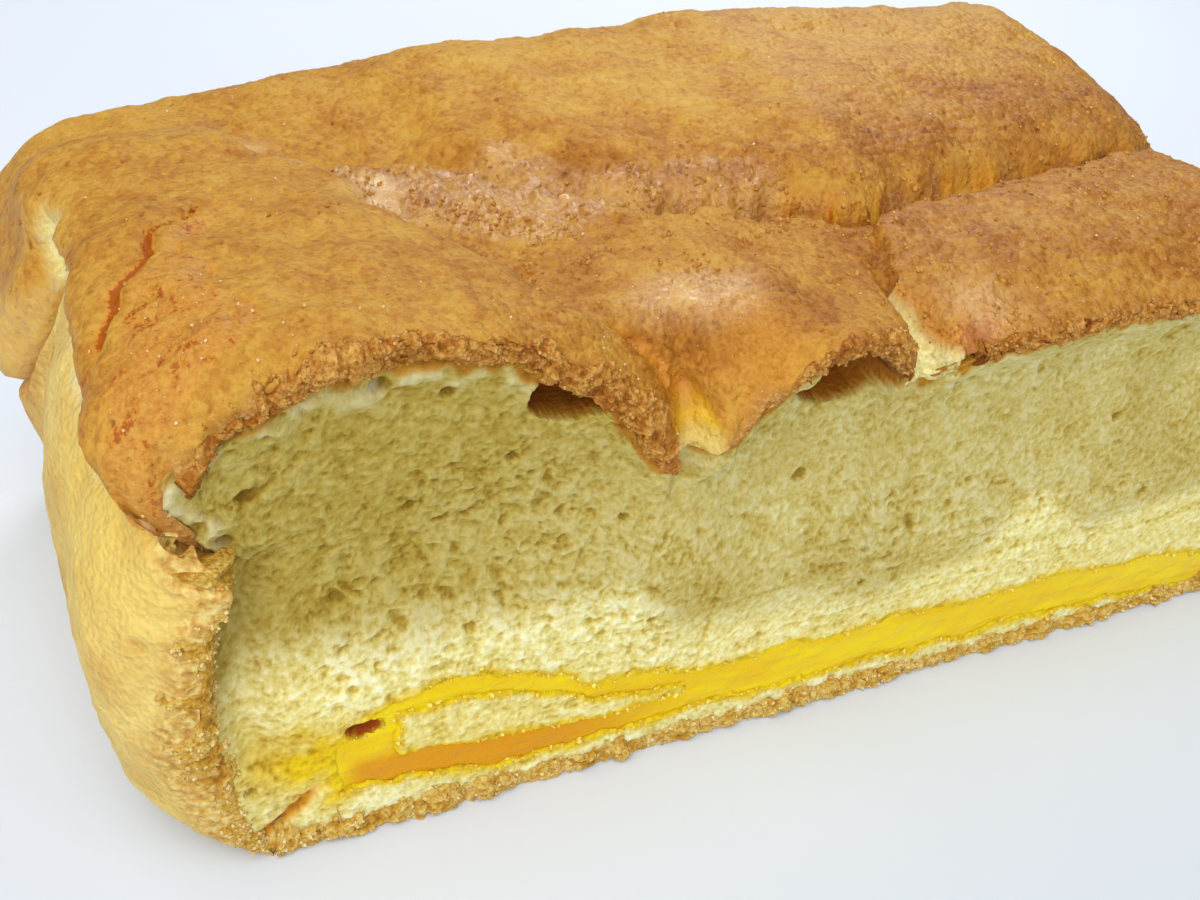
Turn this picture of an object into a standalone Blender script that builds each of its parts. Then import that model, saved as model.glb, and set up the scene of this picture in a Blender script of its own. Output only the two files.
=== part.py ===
"""A block of castella sponge cake, cut along the front, with a melted cheese layer near its base.

The top crust has risen into four lobes with cracks between them, the baked ends bulge over the
base, and the cheese shows at the cut as two strands that join. The block stands on its flat base.
"""

import math

import bmesh
import bpy
from mathutils import Matrix, Vector

MM = 0.001

# Driving dimensions, in millimetres. X runs along the cut face, Y from the cut face to the back,
# Z up. The shapes are made from the cut face's lower left corner, and the finished block is then
# centred over its base.
LENGTH = 178
DEPTH = 97
CREST = 74.5
LEFT_DROP = 10
RIGHT_DROP = 11
BACK_DROP = 14
LEFT_CORNER = 18
RIGHT_CORNER = 9
BASE_EDGE = 7
LEFT_BULGE = 7.5
REAR_BULGE = 4
CUT_CORNER = 9
RIGHT_BULGE = 4
BACK_BULGE = 2
CUT_RECESS = 6.5
CRACK_DEPTH = 6
CRACK_WIDTH = 3
CHEESE_START = 19.5
CHEESE_END = 173
FORK_START = 28
FORK_END = 68
CHEESE_STOP = DEPTH - 10
GAP = 0.3


def smooth(value):
    """Rises from 0 to 1 while the value does, level at both ends."""
    value = min(max(value, 0.0), 1.0)
    return value * value * (3 - 2 * value)


def mix(first, second, share):
    return first + (second - first) * share


def ridge(distance, width):
    """A rounded ridge, 1 at its crest and near 0 two widths away."""
    return math.exp(-((distance / width) ** 2))


def through(points, at):
    """A curve that eases from each (place, value) point to the next one."""
    if at <= points[0][0]:
        return points[0][1]
    for (start, before), (end, after) in zip(points, points[1:]):
        if at <= end:
            return mix(before, after, smooth((at - start) / (end - start)))
    return points[-1][1]


def quarter(distance, reach):
    """The drop of a round edge: 1 at the edge, 0 from the reach inwards."""
    inward = 1 - min(max(distance, 0) / reach, 1)
    return 1 - math.sqrt(1 - inward * inward)


# The top's creases, as plan curves.


def crack_y(x):
    """The long crack, in front of the back lobe."""
    return through([(46, 58), (60, 46), (76, 37), (92, 34), (103, 29), (120, 34), (LENGTH, 42)], x)


def crease_x(y):
    """The slanting crease where the left lobe lies on the middle one."""
    return through([(-2, 58), (20, 49), (44, 36), (64, 24)], y)


def gap_x(y):
    """The split between the middle and the right lobe."""
    return through([(0, 101), (8, 99), (18, 99), (30, 105)], y)


def lip_height(x):
    """The crust's torn front edge, seen from the front."""
    left_lobe = [(0, 55), (10, 64), (24, 70), (40, 68.5), (52, 62), (64, 51)]
    middle_lobe = [(69, 50), (76, 54), (87, 62.5), (94, 60), (99, 54)]
    right_lobe = [(103, 54), (112, 58.5), (126, 61), (LENGTH, 60)]
    return through(left_lobe + middle_lobe + right_lobe, x)


def crack_share(x):
    """How open the long crack is: it fades out to the left."""
    return through([(62, 0), (84, 0.7), (98, 1), (150, 0.8), (LENGTH, 0.6)], x)


def top_height(x, y):
    """The top crust over a point of the plan, before the ends and the back are rounded."""
    behind = y - crack_y(x)
    left = 71.5 - 0.0035 * (x - 22 + 0.25 * y) ** 2
    middle = 66 - 0.003 * (x - 76) ** 2
    right = 66 - 0.008 * (y - 22) ** 2 + 0.01 * (x - 140)
    back = CREST - 9 * math.exp(-max(behind, 0) / 14) - 0.0007 * (x - 120) ** 2
    height = mix(middle, right, smooth((x - gap_x(y)) / 3 + 0.5))
    height = mix(height, back, smooth(behind / mix(12, 3, crack_share(x)) + 0.5))
    beside_crease = smooth((crease_x(y) - x) / 9 + 0.5)
    height = mix(height, left, beside_crease * smooth((82 - y) / 22))
    height -= CRACK_DEPTH * crack_share(x) * ridge(behind, CRACK_WIDTH)
    height -= 4 * ridge(x - gap_x(y), 2.5) * smooth((30 - y) / 6)
    return height


def front_roll(x):
    """How far back from the cut the crust starts to roll down to its torn edge."""
    return through([(0, 10), (44, 10), (60, 18), (90, 16), (120, 14)], x)


def surface_height(x, y):
    """The finished top surface over a point of the plan."""
    rolled = math.sqrt(1 - (1 - min(y / front_roll(x), 1)) ** 2)
    height = mix(lip_height(x), top_height(x, y), rolled)
    height -= LEFT_DROP * quarter(x, 11) + RIGHT_DROP * quarter(LENGTH - x, 13)
    return height - BACK_DROP * quarter(DEPTH - y, 16)


# The walls, as distances that they move out from a plain block.


def pinch_height(y):
    """Where the top crust's fold meets the skin of the left end."""
    return through([(0, 49), (40, 60), (DEPTH, 56)], y)


def base_edge(z):
    """The round lower edge of the baked skin."""
    return BASE_EDGE * quarter(z, BASE_EDGE + 4)


def left_out(y, z):
    """The left end: a bulging skin, pinched under the fold, torn behind it and fuller at the back."""
    bulge = mix(LEFT_BULGE, REAR_BULGE, smooth((y - 38) / 14))
    skin = bulge * math.sin(math.pi * min(z / (pinch_height(y) + 6), 1)) ** 0.8
    fold = 5 * ridge(z - pinch_height(y) - 9, 7)
    rear = 5.5 * smooth((y - 46) / 10) * ridge(z - 52, 11)
    tear = 4 * ridge(y - 44, 5) * ridge(z - 54, 12)
    corner = CUT_CORNER * quarter(y, 14) * mix(1, 0.4, smooth((z - 44) / 12))
    return skin + fold + rear - tear - corner - base_edge(z) * mix(1.5, 1, smooth(y / 16))


def right_out(y, z):
    """The right end, finished like the left one."""
    skin = RIGHT_BULGE * math.sin(math.pi * min(z / 58, 1)) ** 0.8
    return skin + 2 * ridge(z - 60, 6) + smooth((y - 50) / 20) - base_edge(z)


def back_out(x, z):
    """The back wall, a baked skin with a slight waist."""
    skin = BACK_BULGE * math.sin(math.pi * min(z / 60, 1)) ** 0.8
    return skin + 0.8 * math.sin(x / 21) * ridge(z - 34, 20) - base_edge(z)


def cut_back(x, z):
    """The cut face leans back above the cheese, and the crust's torn edge stands out over it."""
    lip = lip_height(x)
    recess = CUT_RECESS * through([(0, 0.8), (30, 1), (70, 0.8), (LENGTH, 0.6)], x)
    hollow = recess * smooth((z - 27) / 24)
    ledge = through([(0, 1.5), (50, 2), (62, 2), (67, 0), (78, 6), (92, 6.5), (101, 1), (110, 4), (LENGTH, 3)], x)
    return hollow - ledge * smooth((z - lip + 9) / 7)


def round_back_corner(along, across):
    """Turns the square corner block of the plan into a quarter disc."""
    return (
        along * math.sqrt(1 - across * across / 2),
        across * math.sqrt(1 - along * along / 2),
    )


def shaped(share_x, share_y, share_z):
    """The block's point for a point of the unit cube."""
    x, y = share_x * LENGTH, share_y * DEPTH
    z = share_z * surface_height(x, y)
    plan_x, plan_y = x, y
    for corner, inward, radius in ((0, 1, LEFT_CORNER), (LENGTH, -1, RIGHT_CORNER)):
        from_end = 1 - abs(x - corner) / radius
        from_back = 1 - (DEPTH - y) / radius
        if from_end > 0 and from_back > 0:
            along, across = round_back_corner(from_end, from_back)
            plan_x = corner + inward * radius * (1 - along)
            plan_y = DEPTH - radius * (1 - across)
    plan_x -= left_out(y, z) * smooth(1 - x / 22)
    plan_x += right_out(y, z) * smooth(1 - (LENGTH - x) / 22)
    plan_y += back_out(x, z) * smooth(1 - (DEPTH - y) / 24)
    plan_y += cut_back(x, z) * smooth(1 - y / 18)
    return Vector((plan_x, plan_y, z)) * MM


# The cheese, as heights above the base along the cut.


def strand_end(x):
    """Closes a strand at the left and right ends of the layer."""
    near = min((x - CHEESE_START) / 5, (CHEESE_END - x) / 6, 1)
    return math.sqrt(max(1 - (1 - max(near, 0)) ** 2, 0))


def upper_strand(x):
    """Middle height and half thickness of the upper strand."""
    middle = through([(19, 15.5), (30, 20.5), (42, 19.8), (56, 14.5), (70, 12), (84, 11.3)], x)
    return middle, through([(19, 1.6), (34, 1.2), (64, 1.1), (78, 1.2)], x)


def lower_strand(x):
    """Middle height and half thickness of the lower strand."""
    middle = through([(19, 11.5), (30, 9.8), (44, 8), (60, 7.4), (78, 7.4)], x)
    return middle, through([(19, 2.4), (40, 1.5), (62, 0.9), (78, 1.2)], x)


def joined_sag(x):
    """How far the joined layer sinks to the right of the fork."""
    return through([(78, 0), (126, 0.8), (CHEESE_END, 3.6)], x)


def cheese_outline(grow):
    """The layer's outer outline, as (x, z) points, with every face moved out by the growth."""
    count = 40
    upper, lower = [], []
    for n in range(count + 1):
        share = 0.5 - 0.5 * math.cos(math.pi * n / count)
        x = mix(CHEESE_START, CHEESE_END, share)
        high, high_half = upper_strand(x)
        low, low_half = lower_strand(x)
        centre = (high + low) / 2
        half_above = (high + high_half - centre) * strand_end(x) + grow
        half_below = (centre - low + low_half) * strand_end(x) + grow
        place = x + mix(-grow, grow, share)
        upper.append((place, centre + half_above - joined_sag(x)))
        lower.append((place, centre - half_below - joined_sag(x)))
    return upper + lower[::-1]


def fork_outline(shrink):
    """The crumb held between the two strands, as (x, z) points."""
    count = 14
    roof, floor = [], []
    for n in range(count + 1):
        x = mix(FORK_START, FORK_END, n / count)
        high, high_half = upper_strand(x)
        low, low_half = lower_strand(x)
        centre = (high - high_half + low + low_half) / 2
        taper = math.sqrt(max(math.sin(math.pi * n / count), 0.0))
        half = max((high - high_half - low - low_half) / 2 * taper - shrink, 0)
        place = x + mix(shrink, -shrink, n / count)
        roof.append((place, centre + half))
        floor.append((place, centre - half))
    return roof[:-1] + floor[:0:-1]


def flat_outline(curve, points):
    spline = curve.splines.new("POLY")
    spline.points.add(len(points) - 1)
    spline.use_cyclic_u = True
    for point, (x, z) in zip(spline.points, points):
        point.co = (x * MM, z * MM, 0, 1)


def layer_object(name, collection, grow, front, back):
    """The forked layer as a closed mesh, from its 2D outline extruded through the cake."""
    curve = bpy.data.curves.new(name, "CURVE")
    curve.dimensions = "2D"
    curve.fill_mode = "BOTH"
    curve.extrude = (back - front) / 2 * MM
    flat_outline(curve, cheese_outline(grow))
    flat_outline(curve, fork_outline(grow))
    guide = bpy.data.objects.new(name + "_outline", curve)
    collection.objects.link(guide)
    guide.location = (0, (front + back) / 2 * MM, 0)
    guide.rotation_euler = (math.pi / 2, 0, 0)
    bpy.context.view_layer.update()
    graph = bpy.context.evaluated_depsgraph_get()
    mesh = bpy.data.meshes.new_from_object(guide.evaluated_get(graph))
    mesh.transform(guide.matrix_world)
    body = bmesh.new()
    body.from_mesh(mesh)
    bmesh.ops.remove_doubles(body, verts=body.verts, dist=0.00002)
    bmesh.ops.recalc_face_normals(body, faces=body.faces)
    body.to_mesh(mesh)
    body.free()
    bpy.data.objects.remove(guide)
    layer = bpy.data.objects.new(name, mesh)
    collection.objects.link(layer)
    return layer


# The objects.


def stations(length, spacing, *fine):
    """Shares of a length, even apart from finer steps in the (from, to, spacing) stretches."""
    places, at = [], 0
    while at < length:
        step = min([part[2] for part in fine if part[0] <= at < part[1]] + [spacing])
        at += step
        if at < length - step / 2:
            places.append(at / length)
    return places


def sponge_object(collection):
    """A cube cut into a grid and shaped into the block."""
    block = bmesh.new()
    bmesh.ops.create_cube(block, size=1, matrix=Matrix.Translation((0.5, 0.5, 0.5)))
    cuts = {
        (1, 0, 0): stations(LENGTH, 5, (0, 14, 2.8), (92, 108, 3), (160, 176, 3)),
        (0, 1, 0): stations(DEPTH, 6, (0, 10, 2.5), (26, 46, 2.5), (80, 97, 3)),
        (0, 0, 1): stations(CREST, 7, (0, 8, 3), (50, 72, 4)),
    }
    for normal, shares in cuts.items():
        for share in shares:
            whole = block.verts[:] + block.edges[:] + block.faces[:]
            bmesh.ops.bisect_plane(
                block, geom=whole, plane_co=Vector(normal) * share, plane_no=normal, dist=1e-6
            )
    for vertex in block.verts:
        vertex.co = shaped(*vertex.co)
    bmesh.ops.triangulate(block, faces=block.faces)
    mesh = bpy.data.meshes.new("sponge")
    block.to_mesh(mesh)
    block.free()
    sponge = bpy.data.objects.new("sponge", mesh)
    collection.objects.link(sponge)
    mesh.shade_smooth()
    mesh.set_sharp_from_angle(angle=math.radians(50))
    return sponge


def hollow_cutter(name, collection, x, y, z, size, lean):
    """A long rounded bubble that opens at the cut, under the crust."""
    bubble = bmesh.new()
    bmesh.ops.create_uvsphere(bubble, u_segments=16, v_segments=10, radius=0.5 * MM)
    mesh = bpy.data.meshes.new(name)
    bubble.to_mesh(mesh)
    bubble.free()
    mesh.transform(Matrix.Diagonal((*size, 1)))
    mesh.transform(Matrix.Rotation(lean, 4, "Y"))
    mesh.transform(Matrix.Translation(Vector((x, y, z)) * MM))
    cutter = bpy.data.objects.new(name, mesh)
    collection.objects.link(cutter)
    return cutter


def cut(target, cutter):
    modifier = target.modifiers.new("cut " + cutter.name, "BOOLEAN")
    modifier.operation = "DIFFERENCE"
    modifier.object = cutter
    cutter.hide_render = True
    cutter.display_type = "WIRE"


def centre_over_base(block, others):
    """Moves every mesh so that the finished block's box is centred on the origin in plan."""
    bpy.context.view_layer.update()
    graph = bpy.context.evaluated_depsgraph_get()
    corners = [Vector(corner) for corner in block.evaluated_get(graph).bound_box]
    lowest = Vector(map(min, zip(*corners)))
    highest = Vector(map(max, zip(*corners)))
    middle = (lowest + highest) / 2
    for each in [block, *others]:
        each.data.transform(Matrix.Translation((-middle.x, -middle.y, -lowest.z)))


def give_material(target, name, colour, roughness):
    material = bpy.data.materials.new(name)
    material.use_nodes = True
    shader = material.node_tree.nodes["Principled BSDF"]
    shader.inputs["Base Color"].default_value = (*colour, 1)
    shader.inputs["Roughness"].default_value = roughness
    shader.inputs["Metallic"].default_value = 0
    target.data.materials.append(material)


def new_collection(name):
    collection = bpy.data.collections.new(name)
    bpy.context.scene.collection.children.link(collection)
    return collection


for startup_object in list(bpy.data.objects):
    bpy.data.objects.remove(startup_object)

cake = new_collection("castella_cake")
cutters = new_collection("cutters")

sponge = sponge_object(cake)
slot = layer_object("cheese_slot", cutters, GAP, -12, CHEESE_STOP + GAP)
left_hollow = hollow_cutter("left_hollow", cutters, 48, 6, 61, (11, 24, 6), 0.12)
middle_hollow = hollow_cutter("middle_hollow", cutters, 89, 2, 56.5, (14, 24, 7), -0.1)
for cutter in (slot, left_hollow, middle_hollow):
    cut(sponge, cutter)
give_material(sponge, "baked sponge", (0.62, 0.45, 0.13), 0.8)

cheese = layer_object("cheese_layer", cake, 0, 0.4, CHEESE_STOP)
give_material(cheese, "melted cheese", (0.8, 0.48, 0.01), 0.3)

centre_over_base(sponge, [cheese, slot, left_hollow, middle_hollow])
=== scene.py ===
"""Castella sponge cake, cut open along the front: crumb, cheese, baked skin, crust and crumbs."""
import functools
import math

import bpy
import numpy as np
from mathutils import Matrix, Vector


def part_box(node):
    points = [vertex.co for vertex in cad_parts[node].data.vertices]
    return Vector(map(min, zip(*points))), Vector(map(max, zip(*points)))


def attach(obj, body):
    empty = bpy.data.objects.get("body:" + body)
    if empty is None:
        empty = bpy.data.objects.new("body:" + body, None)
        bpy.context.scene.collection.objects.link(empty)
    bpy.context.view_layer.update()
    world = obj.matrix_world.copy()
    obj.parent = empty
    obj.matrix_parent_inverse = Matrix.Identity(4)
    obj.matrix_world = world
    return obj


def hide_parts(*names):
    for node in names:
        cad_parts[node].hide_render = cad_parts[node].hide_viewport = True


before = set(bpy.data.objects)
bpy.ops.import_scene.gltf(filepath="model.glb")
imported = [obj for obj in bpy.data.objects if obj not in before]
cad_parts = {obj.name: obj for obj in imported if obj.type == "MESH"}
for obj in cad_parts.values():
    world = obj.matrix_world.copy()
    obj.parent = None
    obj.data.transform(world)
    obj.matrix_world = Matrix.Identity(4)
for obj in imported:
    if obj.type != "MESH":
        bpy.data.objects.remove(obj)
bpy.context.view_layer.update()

# --------------------------------------------------------------------------------
# Crumb. The sponge inside the cake, egg-yellow and full of fine bubbles, torn a little by the knife
# and hollow under the crust in two places. One block behind the cut face, with the face itself
# modelled finely: it leans back, is pitted by bubbles, and is soaked yellow around the cheese.

MM = 0.001
SMOOTH_BELOW = 60  # degrees between faces, up to which they are shaded as one surface
LENGTH, DEPTH = 178, 97  # the block before its ends bulge; all the sizes below are millimetres
CHEESE_START, CHEESE_FRONT = 19.5, 0.4  # where the CAD's cheese begins
CHEESE_END = 173
FORK_START, FORK_END = 27.3, 69  # where the tongue of crumb lies between the cheese's strands
HOLE_X, HOLE_Z = 22.9, 18.4  # the bubble hole at the cheese's left end
CUT_RECESS = 6.5  # how far the cut face leans back at its top
LEFT_HOLLOW = (50.0, 59.3, 5.8, 3.6)  # centre across and up, half width and half height
MIDDLE_HOLLOW = (87.4, 57.5, 7.2, 6.0)
HOLLOW_DEPTH = 7
BUBBLES = [  # centre across and up, and radius
    (11.5, 53.0, 1.9), (8.5, 47.5, 1.5), (26.5, 64.5, 1.6), (34.5, 62.0, 1.2), (14.0, 60.5, 0.9),
    (30.5, 47.0, 1.0), (58.0, 40.0, 0.9), (43.0, 51.5, 1.0), (84.0, 41.0, 1.2), (21.0, 36.0, 0.9),
    (37.0, 30.0, 1.0), (103.0, 30.0, 1.1), (127.0, 29.0, 1.0), (8.5, 12.5, 1.0), (148.0, 26.0, 1.2),
    (62.0, 25.0, 0.9), (96.0, 22.0, 1.0), (139.0, 40.0, 0.9), (160.0, 55.0, 1.7), (118.0, 24.0, 0.8),
]

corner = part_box("cheese_layer")[0] - Vector((CHEESE_START, CHEESE_FRONT, 0)) * MM
corner.z = 0


def linear(hex_colour):
    """An sRGB hex colour as the linear values that a shader takes."""
    parts = [int(hex_colour[n : n + 2], 16) / 255 for n in (0, 2, 4)]
    return [c / 12.92 if c <= 0.04045 else ((c + 0.055) / 1.055) ** 2.4 for c in parts] + [1]


def ease(value):
    """Rises from 0 to 1 while the value does, level at both ends."""
    value = np.clip(value, 0, 1)
    return value * value * (3 - 2 * value)


def ridge(distance, width):
    """A rounded ridge, 1 at its crest and near 0 two widths away."""
    return np.exp(-((distance / width) ** 2))


def through(points, at):
    """A curve that eases from each (place, value) point to the next one."""
    places, values = np.array(points, float).T
    step = np.clip(np.searchsorted(places, at, side="right") - 1, 0, len(places) - 2)
    share = ease((at - places[step]) / (places[step + 1] - places[step]))
    return values[step] + (values[step + 1] - values[step]) * share


def scramble(cell, seed):
    """A random number from 0 to 1 for each whole-numbered place."""
    strides = np.array([73856093, 19349663, 83492791])[: cell.shape[-1]]
    mixed = (cell @ strides + seed * 7919 + 12345) & 0xFFFFFFFF
    mixed = ((mixed ^ (mixed >> 13)) * 1274126177) & 0xFFFFFFFF
    mixed = ((mixed ^ (mixed >> 16)) * 2246822519) & 0xFFFFFFFF
    return ((mixed ^ (mixed >> 15)) & 0xFFFFFF) / 0xFFFFFF


def noise(size, seed, *axes, octaves=1):
    """Smooth noise from about -1 to 1 in lumps of this size, which may differ from axis to axis."""
    places = np.stack(np.broadcast_arrays(*axes), -1) / size
    total, most = 0, 0
    for octave in range(octaves):
        at = places * 2**octave
        cell = np.floor(at).astype(np.int64)
        share = at - cell
        share = share**3 * (share * (share * 6 - 15) + 10)
        value = 0
        for step in np.ndindex((2,) * cell.shape[-1]):
            weight = np.prod(np.where(step, share, 1 - share), axis=-1)
            value = value + weight * (2 * scramble(cell + step, seed + octave) - 1)
        total = total + value * 0.55**octave
        most += 0.55**octave
    return total / most * 1.4


def spots(size, seed, *axes):
    """Distance to the nearest of points scattered about this far apart, and its random number."""
    places = np.stack(np.broadcast_arrays(*axes), -1) / size
    cell = np.floor(places).astype(np.int64)
    nearest = np.full(places.shape[:-1], 9.0)
    chosen = np.zeros(places.shape[:-1])
    for step in np.ndindex((3,) * cell.shape[-1]):
        near = cell + step - 1
        jitter = [scramble(near, seed + axis) for axis in range(cell.shape[-1])]
        distance = np.linalg.norm(near + np.stack(jitter, -1) - places, axis=-1)
        closer = distance < nearest
        nearest = np.where(closer, distance, nearest)
        chosen = np.where(closer, scramble(near, seed + 9), chosen)
    return nearest, chosen


def points_of(piece, what="co"):
    """The piece's points in metres, or their normals."""
    values = np.empty(len(piece.data.vertices) * 3)
    piece.data.vertices.foreach_get(what, values)
    return values.reshape(-1, 3)


def move_points(piece, points):
    """Moves the piece's points to these places in metres."""
    piece.data.vertices.foreach_set("co", points.ravel())
    piece.data.update()


def grid(name, columns, rows):
    """A grid primitive of this many faces, and its points' shares across and up."""
    bpy.ops.object.select_all(action="DESELECT")
    bpy.ops.mesh.primitive_grid_add(x_subdivisions=columns, y_subdivisions=rows, size=1)
    piece = bpy.context.object
    piece.name = piece.data.name = name
    points = points_of(piece) + 0.5
    return piece, points[:, 0].copy(), points[:, 1].copy()


def place(piece, x, y, z):
    """Puts the piece's points at these millimetres from the cut's lower left corner."""
    move_points(piece, np.stack(np.broadcast_arrays(x, y, z), -1) * MM + np.array(corner))


def keep(piece, **values):
    """Stores a value for each point, for the materials to read."""
    for name, value in values.items():
        stored = piece.data.attributes.new(name, "FLOAT", "POINT")
        full = np.broadcast_to(value, len(piece.data.vertices)).astype(np.float32)
        stored.data.foreach_set("value", full)


def raise_surface(piece, height):
    """Moves the points along their normals by these millimetres."""
    move_points(piece, points_of(piece) + points_of(piece, "normal") * height[:, None] * MM)


def pick_places(piece, likelihood, count, seed):
    """Random points of the piece and their normals, more of them where it is likelier."""
    chance = np.clip(likelihood, 0, None)
    chosen = np.random.default_rng(seed).choice(len(chance), count, p=chance / chance.sum())
    return points_of(piece)[chosen], points_of(piece, "normal")[chosen]


def close_behind(piece, steps):
    """Extrudes the rim once for each step, which moves the new rim's points, and fills the last."""
    bpy.ops.object.mode_set(mode="EDIT")
    bpy.ops.mesh.select_mode(type="EDGE")
    bpy.ops.mesh.select_all(action="DESELECT")
    bpy.ops.mesh.select_non_manifold()
    for step in steps:
        bpy.ops.mesh.extrude_edges_move()
        bpy.ops.object.mode_set(mode="OBJECT")
        rim = [vertex for vertex in piece.data.vertices if vertex.select]
        points = np.array([vertex.co for vertex in rim]) - np.array(corner)
        moved = step(*(points.T / MM))
        for vertex, x, y, z in zip(rim, *np.broadcast_arrays(*moved)):
            vertex.co = Vector((x, y, z)) * MM + corner
        bpy.ops.object.mode_set(mode="EDIT")
    bpy.ops.mesh.fill(use_beauty=False)
    bpy.ops.object.mode_set(mode="OBJECT")


def finish_piece(piece, material, slot, *nodes):
    """Keeps the piece off the floor, turns its faces outwards, shades it and hides the parts it stands
    for.
    """
    points = points_of(piece)
    points[:, 2] = np.maximum(points[:, 2], 0)
    move_points(piece, points)
    piece.data.materials.append(material)
    bpy.ops.object.select_all(action="DESELECT")
    piece.select_set(True)
    bpy.context.view_layer.objects.active = piece
    bpy.ops.object.mode_set(mode="EDIT")
    bpy.ops.mesh.select_all(action="SELECT")
    bpy.ops.mesh.normals_make_consistent(inside=False)
    bpy.ops.object.mode_set(mode="OBJECT")
    bpy.ops.object.shade_smooth_by_angle(angle=math.radians(SMOOTH_BELOW))
    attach(piece, "root")
    if nodes:
        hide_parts(*nodes)


def feed(node, inputs):
    """Sets each input to its value or hex colour, or links it to the output that feeds it."""
    for socket, value in inputs.items():
        if isinstance(value, bpy.types.NodeSocket):
            node.id_data.links.new(value, node.inputs[socket])
        else:
            node.inputs[socket].default_value = linear(value) if isinstance(value, str) else value


def add(material, kind, inputs=(), ramp=(), out=0, **settings):
    """Adds a node with its settings, inputs and colour ramp, and gives back one of its outputs."""
    made = material.node_tree.nodes.new("ShaderNode" + kind)
    for name, value in settings.items():
        setattr(made, name, value)
    feed(made, dict(inputs))
    for n, (position, colour) in enumerate(ramp):
        stops = made.color_ramp.elements
        stop = stops[n] if n < 2 else stops.new(position)
        stop.position, stop.color = position, linear(colour)
    return made.outputs[out]


def new_material(name):
    """A material, its Principled shader, and the function above for adding nodes to it."""
    material = bpy.data.materials.new(name)
    material.use_nodes = True
    return material, material.node_tree.nodes["Principled BSDF"], functools.partial(add, material)


def lip_height(x):
    """The crust's torn front edge, seen from the front."""
    left_lobe = [(0, 55), (4, 59.5), (10, 64.5), (20, 69), (30, 70), (40, 68.5), (52, 62),
                 (64.5, 48.2)]
    middle_lobe = [(67.2, 50), (69.5, 51.8), (74.5, 58), (79, 62.2), (83, 64.6), (87, 65.2),
                   (90, 64.5), (92.5, 62.6), (94.6, 59), (96.2, 53.5)]
    right_lobe = [(101, 54), (103, 58.5), (108, 59.5), (114, 60), (126, 61), (LENGTH, 60)]
    return through(left_lobe + middle_lobe + right_lobe, x)


def lip_thickness(x):
    """Height of the torn edge's brown face."""
    return through([(0, 0.9), (18, 2.4), (34, 3.2), (58, 3.8), (66, 1), (76, 1.2), (84, 2.4), (93, 3),
                    (96.5, 1), (101, 1), (103, 2), (130, 2.4), (LENGTH, 1.8)], x)


def hollow_back(x, z):
    """How far the cut face leans back."""
    recess = CUT_RECESS * through([(0, 0.85), (30, 1), (70, 0.75), (LENGTH, 0.6)], x)
    return recess * ease((z - through([(0, 23), (60, 25), (110, 22)], x))
                         / through([(0, 15), (60, 22), (120, 30)], x))


def ledge(x):
    """How far the crust's torn edge stands out over the crumb behind it."""
    return through([(0, 1.5), (50, 2), (63, 3), (65.6, 0.6), (69, 5.5), (80, 6.5), (94, 6.5), (97, 1),
                    (100.5, 1), (103, 5.5), (112, 5), (LENGTH, 3)], x)


def cut_left(z):
    """The left outline of the cut."""
    return through([(0, 11), (4, 8), (12, 6), (26, 3.4), (38, 4.8), (44.5, 8), (49, 5), (55, 0.5),
                    (62, 1.5)], z)


def upper_strand(x):
    """Middle height and half thickness of the cheese's upper strand."""
    middle = through([(19, 15.5), (27, 20.6), (36, 21.2), (42, 19.9), (49, 17.2), (56, 14.4),
                      (64, 13.2), (74, 11.8), (84, 11.5)], x)
    half = through([(19, 1.6), (27, 1.1), (34, 1.5), (50, 1.4), (56, 1.8), (64, 1.7), (78, 1.5)], x)
    return middle, half


def lower_strand(x):
    """Middle height and half thickness of the cheese's lower strand."""
    middle = through([(19, 11.5), (30, 9.6), (41, 7.8), (60, 7.4), (78, 7.6)], x)
    return middle, through([(19, 2.9), (34, 2.6), (42, 2.7), (50, 2), (60, 1.5), (78, 1.7)], x)


def inside_cheese(x, z):
    """Distance in from the cheese's outline at the cut, below 0 outside it."""
    high, high_half = upper_strand(x)
    low, low_half = lower_strand(x)
    sag = through([(78, 0), (126, 0.8), (CHEESE_END, 3.6)], x)
    waver = 0.55 * noise(7, 31, x) + 0.3 * noise(2.6, 33, x)
    top = high + high_half - sag + waver
    bottom = low - low_half - sag + 0.5 * noise(6, 35, x) + 0.25 * noise(2.2, 36, x)
    left_end = x - 19.0 - 0.25 * np.abs(z - 12) - 0.8 * noise(3, 38, z)
    outer = np.minimum(np.minimum(top - z, z - bottom), np.minimum(left_end, CHEESE_END - x))
    fork_top, fork_bottom = high - high_half, low + low_half
    fork = np.maximum(np.abs(z - (fork_top + fork_bottom) / 2) - (fork_top - fork_bottom) / 2,
                      np.maximum(FORK_START - x, x - FORK_END))
    hole = np.hypot((x - HOLE_X) / 1.8, z - HOLE_Z) - 1.45
    return np.minimum(np.minimum(outer, fork), hole) + 0.22 * noise(0.9, 37, x, z)


def hollow(x, z, centre_x, centre_z, half_width, half_height):
    """1 well inside a hollow under the crust, 0 outside it."""
    away = np.abs((x - centre_x) / half_width) ** 2.4 + np.abs((z - centre_z) / half_height) ** 2.4
    return ease(2 * (1 - away))


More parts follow.
